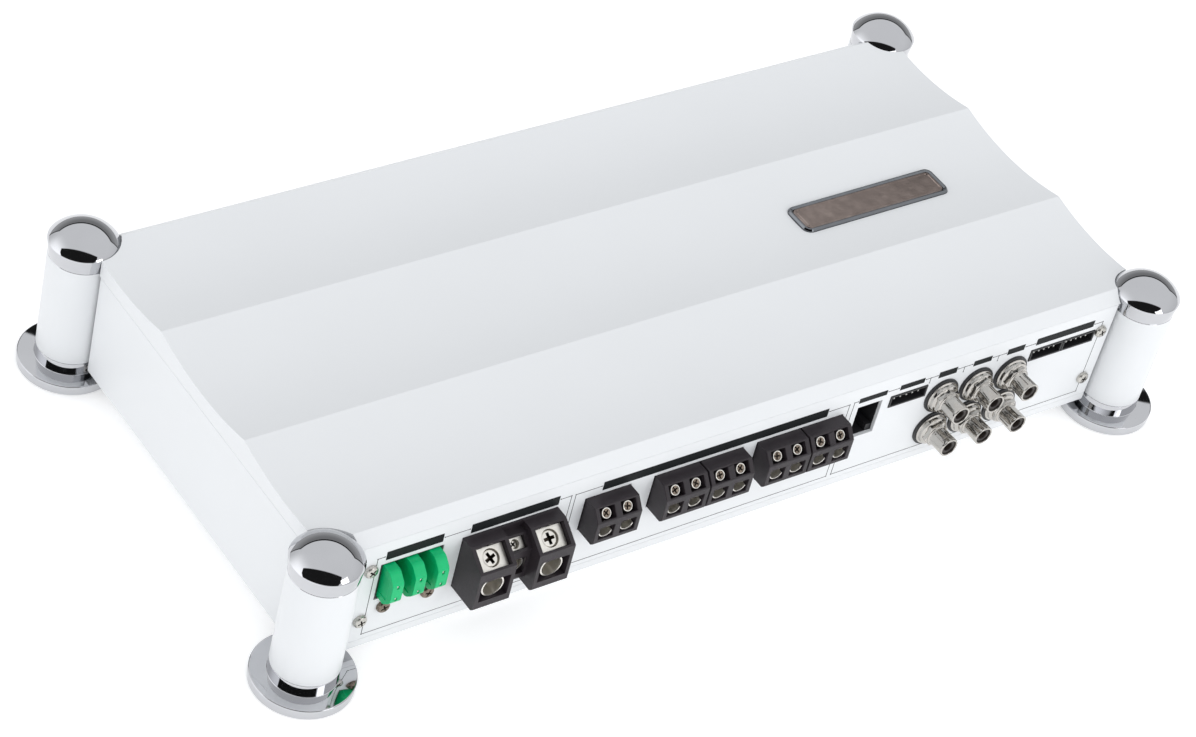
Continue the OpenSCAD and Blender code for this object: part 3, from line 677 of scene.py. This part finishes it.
def case_screws():
    screw = pan_screw()
    places = []
    for i, (x, z) in enumerate(PANEL_SCREWS):
        turn = Matrix.Rotation(math.radians(17 + 31 * i), 4, "Z")
        places += [FRONT @ shift(x, z) @ turn, REAR @ shift(x, z) @ turn]
    for i, (sx, sy) in enumerate(((-1, -1), (1, -1), (1, 1), (-1, 1))):
        x, y = sx * BOTTOM_SCREW[0], sy * BOTTOM_SCREW[1]
        turn = Matrix.Rotation(math.radians(25 + 40 * i), 4, "Z")
        places.append(shift(x, y, CASE_BOTTOM) @ UNDER @ turn)
        inward = Matrix.Rotation(math.atan2(-sy, -sx), 4, "Z")
        inward = inward @ Matrix.Rotation(math.pi / 2, 4, "Y") @ shift(0, 0, BRACKET_SCREW_R)
        for z in BRACKET_SCREW_Z:
            places.append(shift(sx * HALF_X, sy * HALF_Y, z) @ inward)
    fit(stamps("case_screws_cross", screw, places), "case", "zinc_screw", "case_screws")
    places = []
    for i, (x, z) in enumerate(HOLDER_SCREWS):
        places.append(FRONT @ shift(x, z) @ Matrix.Rotation(math.radians(20 + 50 * i), 4, "Z"))
    fit(stamps("holder_screws_cross", screw, places, BRONZE_SCREW), "case", "zinc_screw")
    discard(screw)


# ---- fuses ----


def fuses():
    """Blade fuses: chamfered body with two test slots, and two blades of their own."""
    body_in, chamfer, soft, dent = 5.6, 3.6, 3.0, 0.3
    slot_at, slot_w = 2.9, 1.6
    blade_at, blade_w = 5.3, 4.4
    for name in ("fuse_left", "fuse_middle", "fuse_right"):
        low, high = node_box(name)
        x = (low.x + high.x) / 2
        z = (low.z + high.z) / 2
        half_t = (high.x - low.x) / 2
        half_h = (high.z - low.z) / 2
        out = -HALF_Y - low.y
        outline = rounded_path([
            (body_in, -half_h), (body_in, half_h), (-out + chamfer, half_h, soft),
            (-out, half_h - chamfer, soft), (-out, -half_h + chamfer, soft),
            (-out + chamfer, -half_h, soft),
        ], 6)
        bm = bmesh.new()
        place = shift(x, -HALF_Y, z) @ ALONG_X
        prism(bm, outline, -half_t, half_t, place)
        obj = make(name + "_body", bm, GREEN_PLASTIC)
        bm = bmesh.new()
        for s in (-1, 1):
            slot = (s * slot_at - slot_w / 2, s * slot_at + slot_w / 2)
            block(bm, (-out - 1, -out + 1.2), slot, (-0.5, 0.5), place)
        for side in (-1, 1):
            face = (side * half_t - dent, side * half_t + dent)
            block(bm, (-out + 2.6, body_in + 1), (-5.0, 5.0), face, place)
        carve(obj, make("cutter", bm))
        finish_edges(obj, 0.5, 4)
        fit(obj, name, "green_plastic", name)
        bm = bmesh.new()
        for s in (-1, 1):
            shoulder, tip = body_in - 0.5, body_in + 6.9
            neck = (s * slot_at - 1.2, s * slot_at + 1.2)
            blade = (s * blade_at - blade_w / 2, s * blade_at + blade_w / 2)
            flat = [
                (-out + 0.45, neck[0]), (shoulder, neck[0]), (shoulder, blade[0]),
                (tip, blade[0], 0.6), (tip, blade[1], 0.6), (shoulder, blade[1]),
                (shoulder, neck[1]), (-out + 0.45, neck[1]),
            ]
            prism(bm, rounded_path(flat), -0.4, 0.4, place)
        blades = make(name + "_blades", bm, TIN)
        fit(blades, name, "tin_plated")


# ---- screw terminals ----


def slant_frame(x, depth, flat, edge_z, top_z):
    """Frame on the middle of a pole's sloping face: local Z points out of the face."""
    tilt = math.atan2(top_z - edge_z, depth - flat)
    centre = Vector((x, -HALF_Y - (depth + flat) / 2, (edge_z + top_z) / 2))
    return Matrix.Translation(centre) @ Matrix.Rotation(tilt, 4, "X")


# Sloping face of each kind of pole: depth below and above, height below and above
SUPPLY_POLE = (14.0, 5.4, 41.4, 47.6)
REMOTE_POLE = (8.6, 3.6, 40.6, 44.8)
SPEAKER_POLE = (9.4, 5.6, 42.2, 46.9)


def clamp_screws():
    """Headless cross-recess screws of the three power poles."""
    face = -0.55
    for name, pole, radius, top, tip, turn in (
        ("supply_screw", SUPPLY_POLE, 3.1, 2.7, 9.3, 20),
        ("ground_screw", SUPPLY_POLE, 3.1, 2.7, 9.3, 3),
        ("remote_turn_on_screw", REMOTE_POLE, 1.5, 3.0, 8.0, 30),
    ):
        low, high = node_box(name)
        bm = bmesh.new()
        profile = [(0, face)]
        profile += rounded_path([(0.3, face), (radius, face, 0.4), (radius, -1.2, 0.1)], 5)
        profile += threaded(radius, top - tip + 0.1, -1.3, 0.7, 0.3) + [(0, top - tip)]
        lathe(bm, profile, steps=64)
        screw = make("screw", bm, CLAMP_NICKEL)
        bm = bmesh.new()
        cross_cut(bm, radius * 0.72, radius * 0.4, face, radius * 0.75)
        # The cut faces of the recess take the painted shade finish
        carve(screw, make("cutter", bm, CROSS_RECESS_SHADE))
        finish_edges(screw, 0.06, 2)
        place = slant_frame((low.x + high.x) / 2, *pole) @ shift(0, 0, -top)
        spin = Matrix.Rotation(math.radians(turn), 4, "Z")
        obj = stamps(name + "_cross", screw, [place @ spin])
        discard(screw)
        fit(obj, name, "zinc_screw", name)


def speaker_screws():
    """Dished cross-recess screws of the ten speaker poles."""
    head_r, head_h, shank_r, drop = 2.1, 1.6, 1.4, 2.6
    dish = head_h - 0.4
    bm = bmesh.new()
    profile = [(0, dish)]
    profile += rounded_path([
        (0.5, dish), (1.55, dish, 0.1), (1.7, head_h, 0.1), (head_r, head_h, 0.2),
        (head_r, 0, 0.1), (shank_r, 0),
    ], 4)
    profile += threaded(shank_r, -4.8, -0.3, 0.5, 0.2) + [(0, -5)]
    lathe(bm, profile, steps=48)
    screw = make("screw", bm, BRONZE_SCREW)
    bm = bmesh.new()
    cross_cut(bm, 1.35, 0.62, dish, 0.9)
    # The cut faces of the recess take the painted shade finish
    carve(screw, make("cutter", bm, CROSS_RECESS_SHADE))
    finish_edges(screw, 0.05, 2)
    # Painted highlight: the faces of the raised rim round the dish take the bright nickel
    # finish, standing for the ring of light that the rim catches
    screw.data.materials.append(CLAMP_NICKEL)
    bright = len(screw.data.materials) - 1
    for face in screw.data.polygons:
        centre = face.center / MM
        if centre.z > 0.5 and math.hypot(centre.x, centre.y) > 1.6:
            face.material_index = bright
    for n in range(1, 11):
        name = "speaker_screw_%d" % n
        low, high = node_box(name)
        place = slant_frame((low.x + high.x) / 2, *SPEAKER_POLE) @ shift(0, 0, -drop)
        turn = Matrix.Rotation(math.radians(37 * n % 90), 4, "Z")
        obj = stamps(name + "_cross", screw, [place @ turn])
        fit(obj, name, "zinc_screw", name)
    discard(screw)


def wire_trays():
    """Bright half-round tray on the floor of each speaker wire entry."""
    floor = node_box("speaker_terminal_contacts")[0].z
    outer, inner = 3.1, 2.7
    section = arc((0, 0), outer, 195, 345, 14) + arc((0, 0), inner, 345, 195, 14)
    bm = bmesh.new()
    for n in range(1, 11):
        low, high = node_box("speaker_screw_%d" % n)
        place = FRONT @ shift((low.x + high.x) / 2, floor + outer + 0.1)
        prism(bm, section, 3.4, 8.7, place)
    trays = make("speaker_wire_trays", bm, CLAMP_NICKEL, 35)
    finish_edges(trays, 0.08, 2)
    fit(trays, "case", "nickel")


# ---- phono jacks ----

JACK_R = 4.15
JACK_OUT = 13.1
JACKS = [(x, z) for x in (90.5, 108.2, 125.9) for z in (22.3, 39.3)]
WASHER_T = 0.9


def hexagon(across, corner):
    """Hexagon with slightly round corners, by its width across flats."""
    reach = across / math.sqrt(3)
    return rounded_path([
        (reach * math.cos(math.pi * k / 3), reach * math.sin(math.pi * k / 3), corner)
        for k in range(6)
    ], 3)


def jack_shell():
    """Turned shell of one jack: domed flange, nut, slit barrel with a rolled rim."""
    seat = WASHER_T + 0.05
    bm = bmesh.new()
    profile = rounded_path([
        (3.35, -6), (4.5, -6), (4.5, seat), (7.2, seat, 0.1), (7.2, seat + 0.55, 0.25),
        (6.5, seat + 0.75, 0.15), (6.35, 2.9, 0.25), (5.4, 3.3, 0.15), (5.3, 3.5),
        (4.75, 3.5), (4.75, 5.3, 0.2), (JACK_R, 5.6, 0.1), (JACK_R - 0.1, 6.2),
        (JACK_R, 11.6), (JACK_R, JACK_OUT, 0.38), (3.35, JACK_OUT, 0.3),
    ])
    lathe(bm, profile, steps=72)
    shell = make("jack_shell", bm, NICKEL)
    bm = bmesh.new()
    for k in range(4):
        spin = Matrix.Rotation(math.radians(45 + 90 * k), 4, "Z")
        slit = rounded_rectangle(5.4, 0.55, 0.27, 3)
        lengthwise = columns((0, 0, 1), (0, 1, 0), (-1, 0, 0), (0, 0, 9.1))
        prism(bm, slit, -5, -3.55, spin @ lengthwise)
    carve(shell, make("cutter", bm))
    finish_edges(shell, 0.08, 2, 35)
    return shell


def jack_nut():
    """Thin hexagon nut with chamfered corners."""
    low, high, hole_r = 3.4, 5.2, 4.8
    chamfer = [(4.95, high + 0.01), (6.5, high - 0.9), (6.5, high + 1), (4.95, high + 1)]
    bm = bmesh.new()
    prism(bm, hexagon(10.0, 0.3), low, high)
    nut = make("jack_nut", bm, NICKEL)
    bm = bmesh.new()
    lathe(bm, [(hole_r, low - 1), (hole_r, high + 1), (0, high + 1), (0, low - 1)], steps=64)
    lathe(bm, chamfer, steps=64)
    carve(nut, make("cutter", bm))
    finish_edges(nut, 0.08, 2)
    return nut


def jacks():
    places = [FRONT @ shift(x, z) for x, z in JACKS]
    shell = jack_shell()
    spun = [p @ Matrix.Rotation(math.radians(13 * i), 4, "Z") for i, p in enumerate(places)]
    fit(stamps("jack_shells_turned", shell, spun), "case", "nickel", "jack_shells")
    discard(shell)
    nut = jack_nut()
    spun = [p @ Matrix.Rotation(math.radians(11 + 23 * i), 4, "Z") for i, p in enumerate(places)]
    fit(stamps("jack_nuts", nut, spun), "case", "nickel")
    discard(nut)
    bm = bmesh.new()
    washer = rounded_path([(4.7, 0), (8.1, 0), (8.1, WASHER_T, 0.3), (4.7, WASHER_T)])
    for p in places:
        lathe(bm, washer, p, 72)
    fit(make("jack_washers_fibre", bm, BLACK_PLASTIC), "case", "black_plastic", "jack_washers")
    bm = bmesh.new()
    insulator = rounded_path([
        (1.9, -1), (1.9, JACK_OUT - 0.75, 0.35), (2.55, JACK_OUT - 0.75, 0.1),
        (2.7, JACK_OUT - 1.0, 0.1), (3.3, JACK_OUT - 0.9, 0.1), (3.3, -10), (0, -10), (0, -1),
    ])
    for p in places:
        lathe(bm, insulator, p, 64)
    insulators = make("jack_insulators_moulded", bm, INSULATOR)
    fit(insulators, "case", "dark_insulator", "jack_insulators")
    bm = bmesh.new()
    contact = rounded_path([
        (1.62, 0.5), (1.62, 10.1, 0.1), (1.85, 10.1, 0.1), (1.85, -0.9), (0, -0.9), (0, 0.5),
    ])
    for p in places:
        lathe(bm, contact, p, 48)
    fit(make("jack_contacts_turned", bm, GOLD), "case", "gold_plated", "jack_contacts")


# ---- printed panel ----

INK_LIFT = 0.005
INK_T = 0.04


def bar(bm, x, z, matrix=FRONT, corner=0.15):
    """Filled rectangle of ink between two pairs of limits."""
    outline = rounded_rectangle(x[1] - x[0], z[1] - z[0], corner, 2)
    middle = shift((x[0] + x[1]) / 2, (z[0] + z[1]) / 2)
    prism(bm, outline, INK_LIFT, INK_T, matrix @ middle)


def line(bm, a, b, matrix=FRONT, width=0.25):
    """Thin straight stroke of ink with a dot at each end."""
    a, b = Vector(a), Vector(b)
    along = (b - a).normalized()
    side = Vector((-along.y, along.x)) * width / 2
    outline = [tuple(a - side), tuple(b - side), tuple(b + side), tuple(a + side)]
    prism(bm, outline, INK_LIFT, INK_T, matrix)
    for end in (a, b):
        prism(bm, circle(end, width * 1.1, 12), INK_LIFT, INK_T * 0.9, matrix)


def outline_box(bm, x, z, matrix=FRONT, gaps=()):
    """Thin frame; gaps are stretches of its top edge left open for a label bar."""
    line(bm, (x[0], z[0]), (x[1], z[0]), matrix)
    line(bm, (x[0], z[0]), (x[0], z[1]), matrix)
    line(bm, (x[1], z[0]), (x[1], z[1]), matrix)
    start = x[0]
    for low, high in gaps:
        if low - start > 0.6:
            line(bm, (start, z[1]), (low, z[1]), matrix)
        start = high
    if x[1] - start > 0.6:
        line(bm, (start, z[1]), (x[1], z[1]), matrix)


LABEL_BARS = [
    ((-165.3, -141.6), (49.3, 53.4)), ((-129.9, -92.1), (48.8, 53.2)),
    ((-72.8, 31.2), (48.6, 52.8)), ((46.2, 60.0), (49.9, 52.4)),
    ((66.4, 78.6), (49.8, 52.4)), ((85.7, 94.9), (49.5, 52.6)),
    ((103.3, 112.6), (49.8, 52.5)), ((120.6, 129.5), (49.9, 52.9)),
    ((135.6, 166.0), (50.0, 53.5)),
]


def front_print():
    """Blank label bars, thin frames and plain plus and minus marks of the front panel."""
    bm = bmesh.new()
    for x, z in LABEL_BARS:
        bar(bm, x, z)
    gaps = [(x[0] - 0.6, x[1] + 0.6) for x, z in LABEL_BARS]
    outline_box(bm, (-168.8, -86.8), (13.4, 51.2), gaps=gaps[:2])
    outline_box(bm, (-84.9, 41.6), (13.3, 51.0), gaps=gaps[2:3])
    outline_box(bm, (43.9, 171.0), (13.5, 51.2), gaps=gaps[3:])
    for x in (81.6, 98.7, 116.2):
        line(bm, (x, 48.6), (x, 51.2))
    for x in (-28.3, 19.1):
        line(bm, (x - 9, 28.4), (x - 2, 28.4))
        line(bm, (x + 2, 28.4), (x + 9, 28.4))
    for x in (-74.2, -43.3, -22.7, 4.1, 24.7):
        line(bm, (x - 0.8, 26.0), (x + 0.8, 26.0))
        line(bm, (x + 8.7, 26.0), (x + 10.3, 26.0))
        line(bm, (x + 9.5, 25.2), (x + 9.5, 26.8))
    fit(make("front_print", bm, INK), "case", "black_plastic")


def rear_print():
    """Blank label bars, a thin frame and dial marks round the rear controls."""
    bm = bmesh.new()
    outline_box(bm, (-168, 168), (13.4, 51.2), REAR)
    for name in KNOBS:
        low, high = node_box(name)
        x = -(low.x + high.x) / 2
        z = (low.z + high.z) / 2
        bar(bm, (x - 8, x + 8), (47.0, 49.4), REAR)
        for k in range(11):
            a = math.radians(90 - 150 + 30 * k)
            spoke = Vector((math.cos(a), math.sin(a)))
            reach = 8.6 if k % 5 == 0 else 7.8
            centre = Vector((x, z))
            line(bm, centre + spoke * 6.7, centre + spoke * reach, REAR, 0.3)
    for name in SWITCHES:
        low, high = node_box(name)
        x = -(low.x + high.x) / 2 - 2
        z = (low.z + high.z) / 2
        bar(bm, (x - 8, x + 8), (47.0, 49.4), REAR)
        for s in (-1, 1):
            line(bm, (x + s * 9.0, z - 1), (x + s * 9.0, z + 1), REAR)
    fit(make("rear_print", bm, INK), "case", "black_plastic")


# ---- rear controls ----

KNOBS = ["front_level_knob", "rear_level_knob", "sub_level_knob", "sub_crossover_knob"]
SWITCHES = ["filter_switch", "input_mode_switch"]


def knobs():
    """Fluted knobs with a white pointer line."""
    flutes = 20
    for name in KNOBS:
        low, high = node_box(name)
        place = REAR @ shift(-(low.x + high.x) / 2, (low.z + high.z) / 2)
        radius = (high.x - low.x) / 2
        bm = bmesh.new()
        sections = []
        for height, scale, dip in (
            (0.4, 1.0, 0.0), (0.9, 1.0, 0.0), (1.2, 0.985, 0.35), (4.9, 0.925, 0.35),
            (5.6, 0.89, 0.2), (6.0, 0.82, 0.0),
        ):
            outline = []
            for i in range(flutes * 6):
                a = 2 * math.pi * i / (flutes * 6)
                wave = max(0.0, math.cos(a * flutes)) ** 1.5
                r = radius * scale - dip * wave
                outline.append((r * math.cos(a), r * math.sin(a)))
            sections.append((height, outline))
        loft(bm, sections, place)
        lathe(bm, [(0, 0.41), (3.0, 0.41), (3.0, -12), (0, -12)], place, 48)
        obj = make(name + "_fluted", bm, KNOB_PLASTIC, 40)
        fit(obj, name, "knob_plastic", name)
        bm = bmesh.new()
        pointer = rounded_rectangle(0.7, 3.4, 0.3, 3)
        prism(bm, pointer, 5.95, 6.045, place @ shift(0, 2.4))
        fit(make(name + "_pointer", bm, WHITE_INK), name, "switch_plastic")


def switches():
    for name in SWITCHES:
        dress(name, SWITCH_PLASTIC, 0.2)


# ---- stage: floor, light and camera ----


def stage():
    """Floor of 12 m by 12 m, a hair under the feet."""
    bm = bmesh.new()
    steps, side, below = 8, 1500, 0.02
    stops = [side * (i - steps / 2) for i in range(steps + 1)]
    grid = [[bm.verts.new((x, y, -below)) for y in stops] for x in stops]
    for i in range(steps):
        for j in range(steps):
            bm.faces.new((grid[i][j], grid[i + 1][j], grid[i + 1][j + 1], grid[i][j + 1]))
    make("floor", bm, FLOOR)


def direction(azimuth, elevation):
    """Unit vector from the object towards a place seen at these angles, in degrees."""
    a, e = math.radians(azimuth), math.radians(elevation)
    return Vector((math.sin(a) * math.cos(e), -math.cos(a) * math.cos(e), math.sin(e)))


def softbox(name, azimuth, elevation, distance, width, height, radiance):
    """Area light that faces the object. The camera itself never sees it."""
    lamp = bpy.data.lights.new(name, "AREA")
    lamp.shape = "RECTANGLE"
    lamp.size, lamp.size_y = width, height
    lamp.energy = radiance * math.pi * width * height
    obj = bpy.data.objects.new(name, lamp)
    towards = direction(azimuth, elevation)
    obj.location = towards * distance
    obj.rotation_euler = towards.to_track_quat("Z", "Y").to_euler()
    obj.visible_camera = False
    bpy.context.scene.collection.objects.link(obj)


CAMERA_AT = Vector((-0.72907, -0.74252, 0.89812))
CAMERA_YAW, CAMERA_PITCH, CAMERA_ROLL = 43.523, 40.676, 14.887
CAMERA_LENS = 105.21
CAMERA_SHIFT = (0.0289, -0.0040)
# The dark gap of the studio, by the camera, and the grey panel opposite it: where each faces
# (azimuth, elevation), and the tangents of its edges (left, right, bottom, top)
DARK_SIDE = (-42, 44)
DARK_GAP = (-1.2, 1.0, -0.46, 0.27)
PANEL_SIDE = (143, 0)
PANEL_RIM = (-1.38, 1.38, -1, 0.74)
PANEL_FACE = (-1.27, 1.27, -1, 0.62)
# Brightness of what the plated parts mirror
DARK_LEVEL = 0.015
PANEL_LEVEL = 0.26
PANEL_FOOT_LEVEL = 0.5
CEILING_LEVEL = 0.92
SIDE_LEVEL = 0.8
LEFT_LEVEL = 1.75
# Brightness of what lights the coated parts
REAR_FILL = 0.8
FRONT_FILL = 1.19
LEFT_FILL = 1.12


def studio():
    """Light tent: bright ceiling and left side, dark gap by the camera, edged grey panel
    opposite it."""
    world = bpy.data.worlds.new("studio")
    bpy.context.scene.world = world
    world.use_nodes = True
    nodes, links = world.node_tree.nodes, world.node_tree.links
    nodes.clear()
    where = nodes.new("ShaderNodeTexCoord").outputs["Generated"]

    def maths(kind, a, b):
        node = nodes.new("ShaderNodeMath")
        node.operation = kind
        for socket, value in zip(node.inputs, (a, b)):
            links.new(value, socket)
        return node.outputs["Value"]

    def along(axis):
        dot = nodes.new("ShaderNodeVectorMath")
        dot.operation = "DOT_PRODUCT"
        links.new(where, dot.inputs[0])
        dot.inputs[1].default_value = axis
        return dot.outputs["Value"]

    def fade(value, start, end):
        """0 at one value, 1 at the other, smooth between them."""
        node = nodes.new("ShaderNodeMapRange")
        node.interpolation_type = "SMOOTHSTEP"
        low, high = sorted((start, end))
        node.inputs["From Min"].default_value = low
        node.inputs["From Max"].default_value = high
        node.inputs["To Min"].default_value = float(start > end)
        node.inputs["To Max"].default_value = float(end > start)
        links.new(value, node.inputs["Value"])
        return node.outputs["Result"]

    def window(azimuth, elevation, edges, soft):
        """1 inside an upright rectangle that faces the object, with edges given as the
        tangents (left, right, bottom, top) of its angles from its middle."""
        facing = direction(azimuth, elevation)
        side = Vector((math.cos(math.radians(azimuth)), math.sin(math.radians(azimuth)), 0))
        above = facing.cross(side)
        if above.z < 0:
            above = -above
        depth = along(facing)
        across = maths("DIVIDE", along(side), depth)
        high = maths("DIVIDE", along(above), depth)
        left, right, bottom, top = edges
        mask = fade(depth, 0.02, 0.06)
        for value, start, end in (
            (across, left - soft, left), (across, right + soft, right),
            (high, bottom - soft, bottom), (high, top + soft, top),
        ):
            mask = maths("MULTIPLY", mask, fade(value, start, end))
        return mask

    def mix(mask, base, level):
        """Light level blended over the base by a mask."""
        node = nodes.new("ShaderNodeMix")
        node.data_type = "FLOAT"
        links.new(mask, node.inputs["Factor"])
        for socket, value in (("A", base), ("B", level)):
            if isinstance(value, (int, float)):
                node.inputs[socket].default_value = value
            else:
                links.new(value, node.inputs[socket])
        return node.outputs["Result"]

    height = along((0, 0, 1))
    # What the plated parts mirror: ceiling, glowing left side, white card in front
    shown = mix(fade(height, 0.0, 0.55), SIDE_LEVEL, CEILING_LEVEL)
    left_side = maths("MULTIPLY", fade(along((-1, 0, 0)), 0.35, 0.9), fade(height, 0.85, 0.35))
    shown = mix(left_side, shown, LEFT_LEVEL)
    # The panel opposite the camera is grey, lighter towards the floor, with a dark edge
    rise = fade(height, 0.45, 0.0)
    panel = mix(rise, PANEL_LEVEL, PANEL_FOOT_LEVEL)
    shown = mix(window(*PANEL_SIDE, PANEL_RIM, 0.02), shown, DARK_LEVEL)
    shown = mix(window(*PANEL_SIDE, PANEL_FACE, 0.02), shown, panel)
    shown = mix(window(*DARK_SIDE, DARK_GAP, 0.04), shown, DARK_LEVEL)
    # What lights the coated parts: an even tent, brighter in front and at the left
    soft = mix(fade(along((0, -1, 0)), -0.6, 0.9), REAR_FILL, FRONT_FILL)
    soft = mix(fade(along((-1, 0, 0)), 0.0, 1.0), soft, LEFT_FILL)
    path = nodes.new("ShaderNodeLightPath")
    level = mix(path.outputs["Is Glossy Ray"], soft, shown)
    room = nodes.new("ShaderNodeBackground")
    room.inputs["Color"].default_value = (0.975, 0.985, 1, 1)
    links.new(level, room.inputs["Strength"])
    seen = nodes.new("ShaderNodeBackground")
    seen.inputs["Color"].default_value = (1, 1, 1, 1)
    both = nodes.new("ShaderNodeMixShader")
    links.new(path.outputs["Is Camera Ray"], both.inputs["Fac"])
    links.new(room.outputs["Background"], both.inputs[1])
    links.new(seen.outputs["Background"], both.inputs[2])
    out = nodes.new("ShaderNodeOutputWorld")
    links.new(both.outputs["Shader"], out.inputs["Surface"])


def camera():
    yaw, pitch, roll = (math.radians(a) for a in (CAMERA_YAW, CAMERA_PITCH, CAMERA_ROLL))
    forward = Vector((
        math.sin(yaw) * math.cos(pitch), math.cos(yaw) * math.cos(pitch), -math.sin(pitch)
    ))
    level = Vector((math.cos(yaw), -math.sin(yaw), 0))
    up = level.cross(forward)
    right = level * math.cos(roll) + up * math.sin(roll)
    top = up * math.cos(roll) - level * math.sin(roll)
    data = bpy.data.cameras.new("camera")
    data.sensor_width = 36
    data.lens = CAMERA_LENS
    data.shift_x, data.shift_y = CAMERA_SHIFT
    data.clip_start, data.clip_end = 0.02, 60
    obj = bpy.data.objects.new("camera", data)
    obj.matrix_world = columns(right, top, -forward, CAMERA_AT)
    bpy.context.scene.collection.objects.link(obj)
    bpy.context.scene.camera = obj


def lights():
    softbox("front_light", azimuth=15, elevation=25, distance=1.5, width=0.5, height=0.45,
            radiance=2.6)


heatsink()
badge()
posts()
caps()
case_screws()
fuses()
clamp_screws()
speaker_screws()
wire_trays()
jacks()
front_print()
rear_print()
knobs()
switches()
dress_cad_nodes()
stage()
studio()
lights()
camera()
bpy.context.scene.view_settings.view_transform = "Standard"
bpy.context.scene.view_settings.look = "None"
